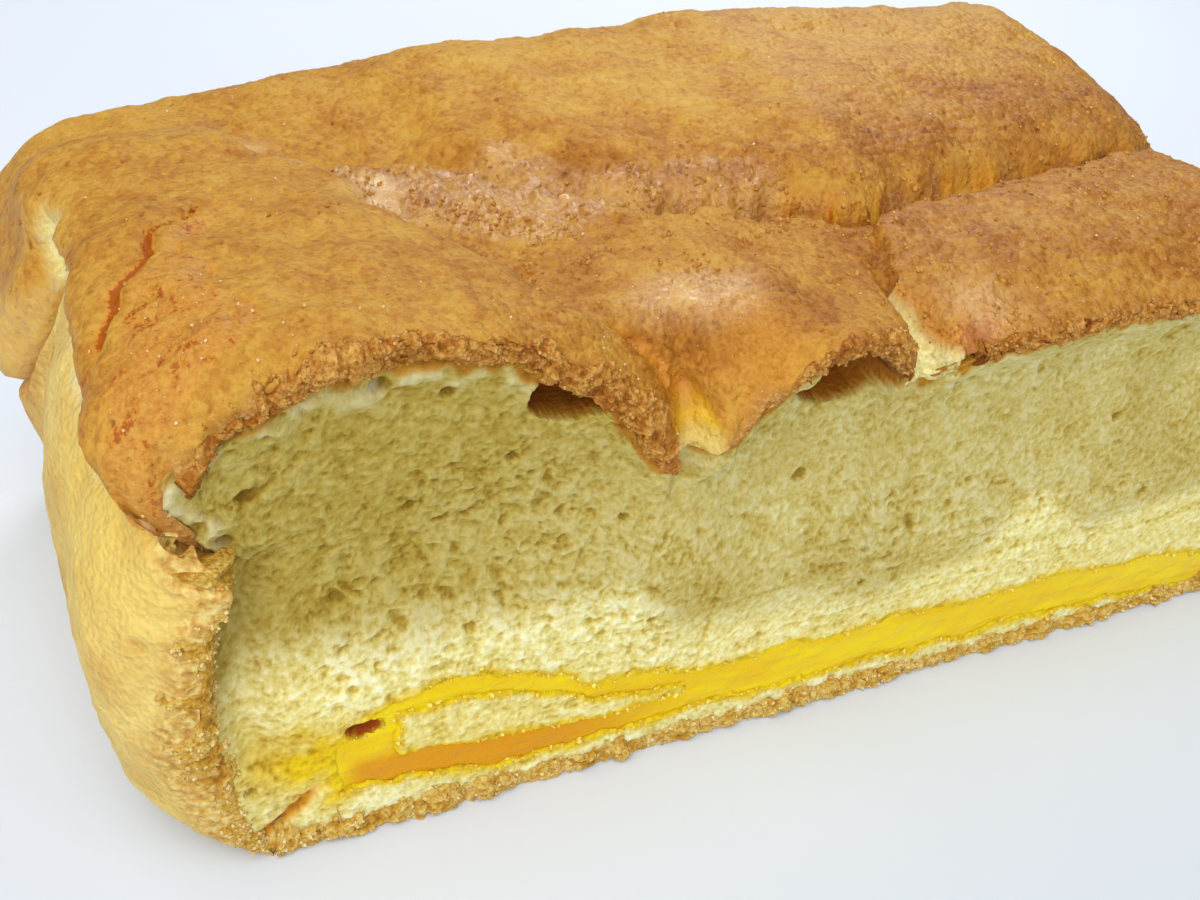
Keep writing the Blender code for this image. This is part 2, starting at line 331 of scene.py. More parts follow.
crumb, across, up = grid("crumb", 470, 176)
x = across * LENGTH
z = up * (lip_height(x) - 0.7 * lip_thickness(x))
x = x + (cut_left(z) - 1.2) * ease(1 - x / 16) - 1.8 * ease(1 - (LENGTH - x) / 10)
y = hollow_back(x, z) - (ledge(x) - 1.1) * ease((z - lip_height(x) + 9) / 6)
torn = through([(0, 0.75), (10, 1), (60, 1), (84, 0.7), (LENGTH, 0.65)], x)
torn = torn * (1 - 0.75 * ridge(z - through([(40, 52), (70, 42), (120, 44), (LENGTH, 50)], x), 4)
               * ease((x - 40) / 20)) * (0.55 + 0.45 * ease((z - 22) / 8))
ragged = ease(0.5 + 0.9 * noise(12, 16, x, z))
bent_x = x + 0.8 * noise(2.4, 2, x, z, octaves=2) + 0.25 * z
bent_z = z + 0.7 * noise(2.4, 3, x, z, octaves=2) - 0.06 * x
upright = ease((62 - x) / 30) * ease((46 - z) / 10) * ease((z - 14) / 8)
strands = noise((2.8, 1.7), 1, bent_x, bent_z, octaves=3) * (1 - upright)
strands = strands + upright * noise((1.5, 3.8), 4, bent_x, bent_z, octaves=3)
tears = 1 - 2 * np.abs(noise((2.3, 1.4), 5, bent_x, bent_z, octaves=2))
wide_cells, cell_size = spots((2.2, 1.7), 8, bent_x, bent_z)
wide_cells = ease(0.15 + wide_cells) * (0.5 + cell_size)
small_cells = spots((1.1, 0.9), 18, bent_x, bent_z)[0]
fine = noise((0.9, 0.8), 12, x, z, octaves=2)
relief = torn * (0.2 * strands + (0.08 + 0.2 * ragged) * tears
                 + (0.15 + 0.2 * ragged) * (wide_cells - 0.6) + 0.5 * (small_cells - 0.5)) + 0.15 * fine
for bubble_x, bubble_z, radius in BUBBLES:
    away = np.hypot(x - bubble_x, (z - bubble_z) * 1.25) + 0.25 * strands
    relief = relief - 1.1 * radius * ease(1.5 * (1 - away / radius))
fold_line = lip_height(x) - through([(0, 2.6), (10, 4.2), (24, 5.2), (50, 5.5)], x)
fold_line = fold_line + 0.9 * noise(5, 21, x)
white_fold = ridge(z - fold_line + 0.9 * strands, 1.2) * ease((50 - x) / 12) * ease(x / 2)
white_fold = white_fold * ease(0.75 + noise(2.5, 23, x, z))
fringe = ridge(x - cut_left(z) - 2 + 0.6 * noise(2, 25, z), 1.3)
fringe = fringe * ease((z - 45) / 3) * ease((60 - z) / 4) * ease(0.9 + noise(2, 27, x, z))
white_fold = np.maximum(white_fold, fringe)
knife_line = ridge(x - 70.5 - 0.12 * (z - 16), 0.35) * ease((30 - z) / 6) * ease((z - 12) / 2)
relief = relief + 0.6 * white_fold - 0.3 * knife_line
layers = ridge(noise((30, 2.4), 14, x, z - 0.02 * x), 0.25) * ease((34 - z) / 8) * ease((z - 12) / 5)
relief = relief - 0.14 * layers
edge_dip = ridge(x - cut_left(z) - 5, 3.2) * ease((z - 12) / 8) * ease((47 - z) / 6)
cavity = sum(hollow(x, z, *each) for each in (LEFT_HOLLOW, MIDDLE_HOLLOW))
into_cheese = ease(inside_cheese(x, z) / 0.6 + 0.1)
cheese_hole = ease(1.6 * (1 - np.hypot((x - HOLE_X) / 1.8, z - HOLE_Z) / 1.5))
base_rise = through([(0, 4), (14, 5), (22, 3), (60, 2.4), (120, 2.4), (LENGTH, 1.4)], x)
base_grain = ease((base_rise + 0.9 * noise(2.2, 41, x) - z) / 1.2)
relief = relief * (1 - 0.6 * base_grain)
chunk_line = ridge((z - 3.5) - 0.85 * (x - 9.5), 1.3) * ease((x - 7.5) / 2) * ease((18 - x) / 3)
y = y + 2.2 * edge_dip - 0.85 * relief * (1 - cavity) + HOLLOW_DEPTH * cavity
y = y + 0.9 * into_cheese + 2.6 * cheese_hole + 1.0 * chunk_line
y = y + 2.2 * ease(0.5 - (x - cut_left(z)) / 2.2)
place(crumb, x, y, z)

soak_reach = 1.6 + 1.0 * noise(4, 45, x, z) + 3 * ease((24 - x) / 6)
soak = ease(1 - (-inside_cheese(x, z) - 0.2) / soak_reach)
soak = np.maximum(soak, ridge(x - 15, 8) * ridge(z - 15, 7) * (1 + 0.4 * noise(3, 46, x, z)))
soak = np.maximum(soak, 0.35 * ease((66 - x) / 10) * ease((x - 26) / 3) * ridge(z - 14, 6))
soak = np.maximum(soak, 0.2 * ease((x - 55) / 20) * ridge(z - 13, 9))
near_skin = ease(1 - (x - cut_left(z) - 0.2) / (1.3 + 0.7 * noise(2, 47, x, z)))
near_skin = near_skin * ease((50 - z) / 3)
under_lip = ease((z - lip_height(x) + lip_thickness(x) + 1.3 + 0.7 * noise(1.8, 49, x)) / 1.2)
roof = ease((z - np.where(x < 70, LEFT_HOLLOW[1] - 3.5, MIDDLE_HOLLOW[1] - 5 + 0.5 * (x - 88))) / 3)
# Browner where it baked: near the skin, at the base and along the chunk. The brown under the crust's
# lip, more where the lip stands out, and in the hollows is painted shade.
bake = np.maximum.reduce([
    0.36 * near_skin * (0.8 + 0.5 * noise(1.8, 53, x, z)),
    0.4 * base_grain * (0.75 + 0.5 * noise(1.6, 51, x, z)),
    0.4 * under_lip * ease((ledge(x) - 0.8) / 1.2),
    0.5 * ease(cavity * 5),
    0.55 * chunk_line,
])
# Paler low down and to the right, darker high up under the lip and at the left end: partly the denser
# crumb's own paler colour, partly painted shade.
dense = ease((31 + 5 * noise(14, 55, x, z) - z) / 12)
dense = np.maximum(dense, ease((x + 0.6 * (56 - z) - 30) / 60) * (0.32 + 0.1 * noise(9, 57, x, z)))
# The hollow value follows the relief: painted shade in its pits and painted highlight on its ridges.
keep(crumb, hollow=ease(0.42 - 0.95 * relief), soak=soak, bake=np.clip(bake, 0, 1),
     # Painted shade, dark red-brown, in the hollows under the crust, most at their roofs, and in the
     # bubble hole at the cheese's left end.
     deep=np.maximum(ease((cavity - 0.05) / 0.35) * (0.15 + 0.85 * roof), ease(5 * cheese_hole)),
     dense=dense * (1 - 0.25 * ease((18 - x) / 8)),
     # The cream along the fold under the lip and the fringe at the left edge: partly paler crumb,
     # partly painted highlight.
     creamy=0.55 * white_fold * (0.7 + 0.4 * noise(1.5, 59, x, z)))
speck_places = pick_places(crumb, ridge(inside_cheese(x, z) + 0.1, 0.5) * (x > 20), 700, 2)
close_behind(crumb, [
    lambda x, y, z: (x, y + 4, z),
    lambda x, y, z: (np.clip(x, 8, LENGTH - 8), DEPTH - 8 + 0 * y, np.clip(z, 1, 48)),
])

# Egg sponge, baked and cut: matt, porous and a little translucent, with painted highlight cream on
# its torn ridges and painted shade deeper yellow in its bubbles, dark red-brown in the hollows and
# browner under the crust's lip. IOR 1.45 is usual for food starch and fat.
sponge_crumb, shader, node = new_material("egg sponge crumb, cut")
position = node("TexCoord", out="Object")
pore, soaked, baked, deep, dense_at, creamy = (
    node("Attribute", out="Fac", attribute_name=name)
    for name in ("hollow", "soak", "bake", "deep", "dense", "creamy"))
small_pores = node("TexVoronoi", {"Vector": position, "Scale": 1 / (0.8 * MM)})
flecks = node("TexNoise", {"Vector": position, "Scale": 1 / (0.6 * MM), "Detail": 4})
clouds = node("TexNoise", {"Vector": position, "Scale": 1 / (9 * MM), "Detail": 2})
# Darker in the pits of the relief and of the small pores, paler on the ridges: painted shade and
# painted highlight.
tone = pore
for texture, strength in ((small_pores, -0.45), (flecks, 1.1), (clouds, 0.35)):
    tone = node("Math", {0: texture, 1: strength, 2: tone}, operation="MULTIPLY_ADD")
shade = node("MapRange", {"Value": tone, 1: 0.45, 2: 1.5})
colour = node("ValToRGB", {"Fac": shade}, ramp=[
    (0.0, "fbf8e4"), (1.0, "c4a748"), (0.3, "f1e9b8"), (0.62, "e4d48c")])
# The tint is partly the denser crumb's own paler colour low down, partly painted shade high up and at
# the left. The cream is partly painted highlight, the brown partly painted shade under the lip and in
# the hollows, and the dark red-brown is painted shade.
airy_tint = node("Mix", {0: dense_at, 6: "bdac68", 7: "fdfbe2"}, out=2, data_type="RGBA")
brown = node("ValToRGB", {"Fac": baked}, ramp=[
    (0.0, "ffffff"), (1.0, "7a3d08"), (0.35, "eebb5e"), (0.65, "c07a2c")])
for share, over, blend in ((1.0, airy_tint, "MULTIPLY"), (creamy, "ebe2b8", "MIX"),
                           (soaked, "f6da1c", "MULTIPLY"), (1.0, brown, "MULTIPLY"),
                           (deep, "a34c0a", "MIX")):
    colour = node("Mix", {0: share, 6: colour, 7: over}, out=2, data_type="RGBA", blend_type=blend)
height = node("Math", {0: small_pores, 1: 0.7, 2: flecks}, operation="MULTIPLY_ADD")
bump = node("Bump", {"Height": height, "Distance": 0.3 * MM, "Strength": 0.6})
feed(shader, {"Base Color": colour, "Normal": bump, "Roughness": 0.85, "IOR": 1.45,
              "Specular IOR Level": 0.3, "Subsurface Weight": 0.45,
              "Subsurface Radius": (1, 0.75, 0.3), "Subsurface Scale": 1.6 * MM})
finish_piece(crumb, sponge_crumb, "sponge", "sponge")

# --------------------------------------------------------------------------------
# Cheese. A layer of soft egg-yellow cheese baked into the sponge just over its base. It parts into
# two strands round a tongue of crumb at the left, runs together further right, and is wet and
# glossy where the knife went through it.

CHEESE_LEFT, CHEESE_TALL, CHEESE_BACK = 18.7, 23.5, DEPTH - 10  # of the grid it is cut from

cheese, across, up = grid("cheese", 620, 92)
x = CHEESE_LEFT + across * (CHEESE_END + 1 - CHEESE_LEFT)
z = 1 + up * CHEESE_TALL
gradient = np.stack([
    inside_cheese(x + 0.1, z) - inside_cheese(x - 0.1, z),
    inside_cheese(x, z + 0.1) - inside_cheese(x, z - 0.1),
]) / 0.2
depth = inside_cheese(x, z)
snap = np.where(np.abs(depth) < 0.35, depth / np.maximum((gradient**2).sum(0), 0.3), 0)
edge_x, edge_z = x - gradient[0] * snap, z - gradient[1] * snap
within = np.clip(depth / 1.1, 0, 1)
waves = noise((3.0, 1.0), 61, x, z, octaves=2)
y = CHEESE_FRONT + 0.2 - 0.45 * np.sqrt(within * (2 - within)) - 0.16 * waves * within
place(cheese, edge_x, y, edge_z)
keep(cheese, waxy=0.5 + 0.4 * noise((9, 2.0), 63, x, z, octaves=2), edge=1 - ease(depth / 0.6),
     low=ease((14.5 - z) / 3) * ease((78 - x) / 30) * ease((x - 19) / 4) * 0.9)
bpy.ops.object.mode_set(mode="EDIT")
bpy.ops.mesh.select_mode(type="FACE")
bpy.ops.mesh.select_all(action="DESELECT")
bpy.ops.object.mode_set(mode="OBJECT")
for face in cheese.data.polygons:
    face.select = bool(min(depth[corner_point] for corner_point in face.vertices) < -0.12)
bpy.ops.object.mode_set(mode="EDIT")
bpy.ops.mesh.delete(type="FACE")
bpy.ops.object.mode_set(mode="OBJECT")
close_behind(cheese, [lambda x, y, z: (x, y + 2, z), lambda x, y, z: (x, CHEESE_BACK + 0 * y, z)])

# Processed egg-and-cheese filling, melted and set: smooth, wet with butterfat, lit from within,
# and deeper orange where it is thick. IOR 1.46 is that of milk fat.
soft_cheese, shader, node = new_material("melted yellow cheese")
position = node("TexCoord", out="Object")
waxy, low, rim = (node("Attribute", out="Fac", attribute_name=name)
                  for name in ("waxy", "low", "edge"))
grit = node("TexNoise", {"Vector": position, "Scale": 1 / (0.7 * MM), "Detail": 4})
colour = "f2d600"
for share, over in ((waxy, "eabc00"), (rim, "f0cc22"), (low, "da8f00")):
    colour = node("Mix", {0: share, 6: colour, 7: over}, out=2, data_type="RGBA")
bump = node("Bump", {"Height": grit, "Distance": 0.3 * MM, "Strength": 0.5})
feed(shader, {"Base Color": colour, "Normal": bump, "Roughness": 0.16, "IOR": 1.46,
              "Specular IOR Level": 0.22, "Subsurface Weight": 0.25,
              "Subsurface Radius": (1, 0.6, 0.03), "Subsurface Scale": 1.2 * MM})
finish_piece(cheese, soft_cheese, "cheese", "cheese_layer")

# --------------------------------------------------------------------------------
# Wall skin. The thin golden skin that baked against the tin's paper, from the cut's left edge round
# the back to its right edge. It bulges below the crust's fold, is torn open to the pale crumb once,
# and swells again behind the tear. At the cut its broken edge is grainy.

LEFT_CORNER, RIGHT_CORNER = 18, 9  # radius of the block's back corners
SKIN_THICK = 2.2
TEAR_Y, TEAR_Z, TEAR_SLOPE = 33, 60, 0.29  # middle of the tear in the left end
WALL_TOP = 50.5  # where the wall ends under the crust, but for the left end


def quarter(distance, reach):
    """A quarter circle's drop: 1 at the edge, 0 this far from it."""
    inward = 1 - np.clip(distance / reach, 0, 1)
    return 1 - np.sqrt(1 - inward**2)


def round_corners(x, y):
    """The plan with its back corners rounded."""
    for corner_x, inward, radius in ((0, 1, LEFT_CORNER), (LENGTH, -1, RIGHT_CORNER)):
        from_end = 1 - np.abs(x - corner_x) / radius
        from_back = 1 - (DEPTH - y) / radius
        turned = (from_end > 0) & (from_back > 0)
        along, back = np.where(turned, from_end, 0), np.where(turned, from_back, 0)
        new_x = corner_x + inward * radius * (1 - along * np.sqrt(1 - back**2 / 2))
        new_y = DEPTH - radius * (1 - back * np.sqrt(1 - along**2 / 2))
        x, y = np.where(turned, new_x, x), np.where(turned, new_y, y)
    return x, y


def fold_foot(y):
    """Height of the crease under the crust's fold at the left end."""
    return through([(0, 47.5), (8, 51.5), (16, 58), (24, 61.5), (44, 62), (53, 40), (66, 35),
                    (DEPTH, 44)], y)


def side_tear(y, z):
    """1 well inside the tear in the left end, which slants up towards the back, 0 outside it."""
    away = np.abs(z - TEAR_Z - TEAR_SLOPE * (y - TEAR_Y) - 1.2 * noise(5, 81, y))
    away = away / (5.6 + 1.6 * noise(4, 82, y))
    return ease(1.5 * (1 - away)) * ease((y - 15) / 4) * ease((54 - y) / 4)


def left_swell(y, z, fold):
    """How far the left end stands out, with the crust's fold or without it."""
    pinch = through([(0, 49), (40, 60), (DEPTH, 56)], y)
    bulge = 7.5 - 3.5 * ease((y - 38) / 14)
    skin = bulge * np.sin(np.pi * np.clip(z / (pinch + 2), 0, 1)) ** 0.8
    rear = 7 * ease((y - 46) / 9) * ridge(z - 48, 13)
    torn_in = 0.8 * ridge(z - TEAR_Z - TEAR_SLOPE * (y - TEAR_Y), 6)
    torn_in = torn_in * ease((y - 20) / 10) * ease((62 - y) / 10)
    fold_out = 5 - 1.8 * ease((y - 8) / 12) * ease((60 - y) / 12)
    rolled_under = 7 * quarter(z, 11) * (1.5 - 0.5 * ease(y / 16))
    return skin + rear - torn_in - rolled_under + fold * fold_out * ridge(z - pinch - 9, 7)


def ends_and_back(x, y, z, fold=0):
    """The plan with its ends and back swollen, and its left end drawn in to the cut's edge."""
    out = left_swell(y, z, fold)
    drawn_in = quarter(y, 14) * (cut_left(z) + left_swell(0 * y, z, fold))
    left = ease(1 - x / 22)
    right = ease(1 - (LENGTH - x) / 22)
    rim = 7 * quarter(z, 11)
    right_out = 4 * np.sin(np.pi * np.clip(z / 58, 0, 1)) ** 0.8 + 2 * ridge(z - 60, 6)
    back_out = 2 * np.sin(np.pi * np.clip(z / 60, 0, 1)) ** 0.8
    back_out = back_out + 0.8 * np.sin(x / 21) * ridge(z - 34, 20)
    new_x = x - (out - drawn_in) * left + (right_out + ease((y - 50) / 20) - rim) * right
    new_y = y + (back_out - rim) * ease(1 - (DEPTH - y) / 24)
    return new_x, new_y


wall_skin, across, up = grid("wall_skin", 392, 118)
path_end = LENGTH + DEPTH  # the path runs from the cut's right edge round the back to its left
path = np.interp(across, [0, 0.15, 0.42, 0.86, 1], [-DEPTH, 0, LENGTH, path_end - 12, path_end])
to_cut = np.clip((path_end - path) / 12, 0, 1)
path = np.where(to_cut < 1, path_end - 12 * to_cut**2, path)
flat_x = LENGTH - np.clip(path, 0, LENGTH)
flat_y = np.where(path < 0, DEPTH + path, np.where(path > LENGTH, path_end - path, DEPTH))
at_left = ease((16 - flat_x) / 10)
wall_top = WALL_TOP + (fold_foot(flat_y) + 1 + 2 * ease(flat_y / 10) - WALL_TOP) * at_left
z = up * wall_top
plan_x, plan_y = round_corners(flat_x, flat_y)
x, y = ends_and_back(plan_x, plan_y, z)
behind_crust = 2.6 * ease(1 - (wall_top - z) / 4.5)
x = x + behind_crust * at_left * ease(flat_y / 12) - behind_crust * ease((flat_x - LENGTH + 10) / 8)
y = y - behind_crust * ease((flat_y - DEPTH + 8) / 6) + behind_crust * ease(1 - flat_y / 10) * at_left
y = y + (hollow_back(LENGTH, z) + 0.4) * ease(1 - flat_y / 10) * ease((flat_x - LENGTH + 10) / 8)
place(wall_skin, x, y, z)
lean = (flat_y, z, flat_x)
swells = 0.7 * noise(16, 71, *lean, octaves=2) * ease(z / 10)
dimples = 0.2 * noise(2.4, 73, *lean, octaves=2) + 0.14 * (spots((2.6, 2.6, 2.6), 74, *lean)[0] - 0.5)
near_cut = ease(1.15 - flat_y / (3.2 + 1.4 * noise(6, 75, z))) * ease((54 - z) / 4) * at_left
near_base = ease(1 - z / (3.5 + 1.5 * noise(7, 77, *lean)))
grained = np.clip(near_cut + 0.7 * near_base, 0, 1)
grain_bumps = 1 - 2 * spots((1.7, 1.7, 1.7), 79, *lean)[0]
tear = side_tear(flat_y, z) * at_left
tear_relief = tear * (0.9 * noise(2.4, 85, *lean, octaves=3) - 1.2)
nicks = ease(1.6 - spots((9, 9, 9), 87, *lean)[0] / 0.1)
raise_surface(wall_skin, swells * (1 - near_cut) + dimples + 0.4 * grained * grain_bumps + tear_relief
              - 0.35 * nicks)
mottle = noise(7, 89, *lean, octaves=3)
behind = ease((flat_y - 47) / 6) * ease((z - 26) / 16) * at_left
keep(wall_skin, browned=np.clip(0.26 + 0.22 * mottle + 0.3 * behind + 0.3 * nicks, 0, 1),
     grained=grained, opened=tear, yolky=0.7 * ridge(flat_y - 14, 14) * ridge(z - 50, 14))
thicken = wall_skin.modifiers.new("thicken", "SOLIDIFY")
thicken.thickness = SKIN_THICK * MM
thicken.offset = -1
bpy.ops.object.modifier_apply(modifier=thicken.name)

# Baked sponge skin where it lay on paper: matt, dry and finely dimpled, golden, browner where it
# swelled against the tin. The torn place shows the pale crumb. IOR 1.45 as for the crumb.
golden_skin, shader, node = new_material("sponge skin baked against paper")
position = node("TexCoord", out="Object")
browned, grained_at, opened, yolky = (
    node("Attribute", out="Fac", attribute_name=name)
    for name in ("browned", "grained", "opened", "yolky"))
speckle = node("TexNoise", {"Vector": position, "Scale": 1 / (1.1 * MM), "Detail": 6})
patches = node("TexNoise", {"Vector": position, "Scale": 1 / (6 * MM), "Detail": 4})
pits = node("TexVoronoi", {"Vector": position, "Scale": 1 / (0.9 * MM)})
tone = browned
for texture, strength in ((speckle, 0.55), (patches, 0.45)):
    tone = node("Math", {0: texture, 1: strength, 2: tone}, operation="MULTIPLY_ADD")
bake = node("MapRange", {"Value": tone, 1: 0.5, 2: 1.25})
colour = node("ValToRGB", {"Fac": bake}, ramp=[
    (0.0, "e9ce76"), (1.0, "b47e34"), (0.35, "dcba62"), (0.7, "cda04e")])
grain_tone = node("MapRange", {"Value": speckle, 1: 0.35, 2: 0.65})
grain_ramp = node("ValToRGB", {"Fac": grain_tone}, ramp=[
    (0.0, "b98230"), (1.0, "e6cc7c"), (0.5, "d2a84e")])
open_tone = node("Mix", {0: grain_tone, 6: "e8d68a", 7: "f3ecc6"}, out=2, data_type="RGBA")
for share, over in ((yolky, "ecc654"), (grained_at, grain_ramp), (opened, open_tone)):
    colour = node("Mix", {0: share, 6: colour, 7: over}, out=2, data_type="RGBA")
height = node("Math", {0: speckle, 1: 1.2, 2: pits}, operation="MULTIPLY_ADD")
bump = node("Bump", {"Height": height, "Distance": 0.4 * MM, "Strength": 0.8})
feed(shader, {"Base Color": colour, "Normal": bump, "Roughness": 0.68, "IOR": 1.45,
              "Subsurface Weight": 0.12, "Subsurface Radius": (1, 0.6, 0.2),
              "Subsurface Scale": 1.2 * MM})
finish_piece(wall_skin, golden_skin, "sponge", "sponge")

# --------------------------------------------------------------------------------
# Base crust. The flat underside that baked on the tin's floor: a golden, grainy crust about 2 mm
# thick, rounded up to the walls and broken off roughly along the cut.

BASE_THICK, BASE_START = 1.8, 7

base_crust, across, up = grid("base_crust", 330, 110)
flat_x = BASE_START + across * (LENGTH - 1 - BASE_START)
flat_y = DEPTH * np.interp(1 - up, [0, 0.3, 1], [0, 0.14, 1])
plan_x, plan_y = round_corners(flat_x, flat_y)
edge = np.minimum(np.minimum(flat_x - BASE_START, LENGTH - 1 - flat_x), DEPTH - flat_y)
x, y = ends_and_back(plan_x, plan_y, 0 * plan_x)
x = x + (cut_left(0) - BASE_START) * ease(1 - flat_y / 14) * ease(1 - across * 12)
rough = 0.7 * noise(1.8, 91, flat_x) + 0.5 * noise(0.9, 93, flat_x)
y = y + (-0.2 + 0.8 * rough) * ease(1 - flat_y / 3)
z = 0.12 + 3.2 * quarter(edge, 3.5) + 0.1 * noise(4, 95, flat_x, flat_y, octaves=2)
z = z + 0.5 * ease(1 - flat_y / 1.2) * ease(0.5 + noise(1.1, 97, flat_x, flat_y))
place(base_crust, x, y, z)
close_behind(base_crust, [lambda x, y, z: (x, y, z + BASE_THICK)])
keep(base_crust, browned=0.35, grained=1, opened=0, yolky=0)
finish_piece(base_crust, golden_skin, "sponge", "sponge")

# --------------------------------------------------------------------------------
# Top crust. The browned top, risen in four lobes: one at the left, one in the middle that ends in a
# tongue over the cut, one at the right and the long smooth one behind them, parted by cracks. It is
# a shell of crust folded down over the ends, and its front edge is torn and grainy.

CREST = 74.5
FOLD, LIP = 14, 9  # length of the sheet beyond the block's edges and round the torn front edge
CRACK_DEPTH, GAP_DEPTH, GAP_SHALLOW = 3.6, 5, 1.2
MIDDLE_CREST = 76  # place along the cut where the middle lobe is highest
FINE_DEPTH = 45  # up to here from the cut, the sheet's rows lie closer together


def crack_y(x):
    """The crack in front of the back lobe."""
    return through([(46, 58), (60, 46), (76, 37), (92, 34), (106, 29), (120, 34), (LENGTH, 42)], x)


def past_crack(x, y):
    """Distance behind the crack, which wavers."""
    return y - crack_y(x) + 1.1 * noise(6, 101, x, y, octaves=3)


def crack_share(x):
    """How far the crack has opened."""
    return through([(62, 0), (84, 0.7), (98, 1), (150, 0.8), (LENGTH, 0.6)], x)


def crease_x(y):
    """The left lobe's right edge."""
    return through([(-2, 58), (20, 49), (44, 36), (64, 24)], y) + 0.8 * noise(7, 105, y)


def gap_x(y):
    """Left side of the gap between the middle and the right lobe."""
    return through([(0, 96.4), (7, 95.8), (14, 98.5), (20, 102), (29, 107)], y) + 0.5 * noise(4, 107, y)


def gap_width(y):
    """Width of the gap, which opens towards the cut."""
    return through([(0, 5.2), (6, 4.6), (11, 1.6), (16, 0.6), (30, 0.5)], y) + 0.3 * noise(3, 108, y)


def patch_left(y):
    """Left edge of the glossy place on the left lobe, where a tear shows the orange inside."""
    edge_x = through([(8, -5), (16, -3), (24, 2), (34, 8), (40, 14), (43, 21)], y)
    return edge_x + 0.5 * noise(3, 109, y)


def patch_right(y):
    """Right edge of that place."""
    return through([(0, 8), (5, 10), (14, 16), (30, 15.5), (43, 22)], y) + 1.6 * noise(5, 111, y)


def notch_share(x, y):
    """1 in the notch between the left lobe's torn end and the middle lobe's tongue."""
    away = np.abs(x - 66.8 + y - 0.6 * noise(3, 142, y))
    width = through([(0, 2.6), (4, 2.2), (10, 0.9)], y)
    return ease((width - away) / 0.9 + 0.3) * ease((11 - y) / 3)


def lobe_shares(x, y):
    """How far each place belongs to the right, the back and the left lobe."""
    right = ease((x - gap_x(y) - gap_width(y)) / 2.0 + 0.5)
    behind = past_crack(x, y)
    back = ease(behind / (12 - 9 * crack_share(x)) + 0.5)
    left = ease((crease_x(y) - x) / 5 + 0.5) * ease((82 - y) / 22)
    return right, back, left


def top_height(x, y):
    """Height of the lobes and the cracks between them, before the edges round down."""
    right, back, left = lobe_shares(x, y)
    behind = past_crack(x, y)
    left_lobe = 71.5 - 0.0035 * (x - 22 + 0.25 * y) ** 2
    aside = x - MIDDLE_CREST
    middle_lobe = 66 - 0.003 * np.maximum(aside, 0) ** 2 - 0.0008 * np.minimum(aside, 0) ** 2
    middle_lobe = middle_lobe + 2.5 * ease((60 - x) / 25) * ease((y - 30) / 20)
    right_lobe = 66 - 0.008 * (y - 22) ** 2 + 0.01 * (x - 140)
    back_lobe = CREST - 9 * np.exp(-np.maximum(behind, 0) / 14) - 0.0007 * (x - 120) ** 2
    height = middle_lobe + (right_lobe - middle_lobe) * right
    height = height + (back_lobe - height) * back
    height = height + (left_lobe - height) * left
    height = height - CRACK_DEPTH * crack_share(x) * ridge(behind + 0.5, 1.5)
    in_gap = ease((x - gap_x(y)) / 1.6 + 0.4) * (1 - right) * ease((30 - y) / 6)
    return height - (GAP_SHALLOW + (GAP_DEPTH - GAP_SHALLOW) * ease((17 - y) / 6)) * in_gap


def surface_height(x, y):
    """The top with its front edge and its ends rounded down."""
    roll = through([(0, 10), (44, 10), (60, 18), (90, 16), (120, 14)], x)
    rolled = np.sqrt(1 - (1 - np.clip(y / roll, 0, 1)) ** 2)
    height = lip_height(x) + (top_height(x, y) - lip_height(x)) * rolled
    height = height - (10 - 3 * ease((y - 14) / 10) * ease((56 - y) / 8)) * quarter(x, 11)
    height = height - 11 * quarter(LENGTH - x, 13)
    return height - 14 * quarter(DEPTH - y, 16)


def crust_sheet(sheet_x, sheet_y):
    """Lays the sheet over the block: where each of its points comes to lie, and on the plan."""
    over = np.maximum.reduce([-sheet_x, sheet_x - LENGTH, sheet_y - DEPTH, 0 * sheet_x])
    under = np.maximum(-sheet_y, 0)
    flat_x = np.clip((sheet_x + over) * LENGTH / (LENGTH + 2 * over), 0, LENGTH)
    flat_y = np.clip(sheet_y * DEPTH / (DEPTH + over), 0, DEPTH)
    at_left = ease((16 - flat_x) / 10)
    foot = 46 + 0.8 * noise(7, 113, flat_x + flat_y) + (fold_foot(flat_y) - 46) * at_left
    down = over / FOLD
    rim_z = surface_height(flat_x, flat_y)
    z = rim_z - down * np.maximum(rim_z - foot, 1.5)
    tucked = ease(1 - (z - foot) / 2.5) * ease(down * 8)
    thick = lip_thickness(flat_x) * (1 + 0.25 * noise(3, 115, flat_x))
    lip_down = np.minimum(under, thick)
    frayed = 0.8 * noise(1.5, 117, sheet_x, octaves=2) * through(
        [(0, 0.4), (20, 1), (64, 1), (72, 0.4), (100, 0.3), (110, 0.8), (LENGTH, 0.8)], flat_x)
    z = z - lip_down * (1 - down) + 0.5 * frayed * ease(1 - np.abs(sheet_y + 0.5 * thick) / 3)
    plan_x, plan_y = round_corners(flat_x, flat_y)
    x, y = ends_and_back(plan_x, plan_y, z, fold=1)
    lean_back = hollow_back(flat_x, z) - ledge(flat_x) * ease((z - lip_height(flat_x) + 9) / 7)
    y = y + lean_back * ease(1 - flat_y / 18) * (1 - 0.6 * down)
    y = y + 0.25 * lip_down + np.maximum(under - thick, 0) * 1.6
    y = y - 0.9 * frayed * ease(1 - np.abs(sheet_y + 0.5 * thick) / 2.5)
    at_front = ease(1 - flat_y / 12)
    x = x + 3.5 * tucked * (sheet_x < 0) * (1 - at_front) - 3.5 * tucked * (sheet_x > LENGTH)
    y = y + 3.0 * tucked * (sheet_y <= DEPTH) * at_front - 3.5 * tucked * (sheet_y > DEPTH)
    return (x, y, z), flat_x, flat_y, over, under, thick


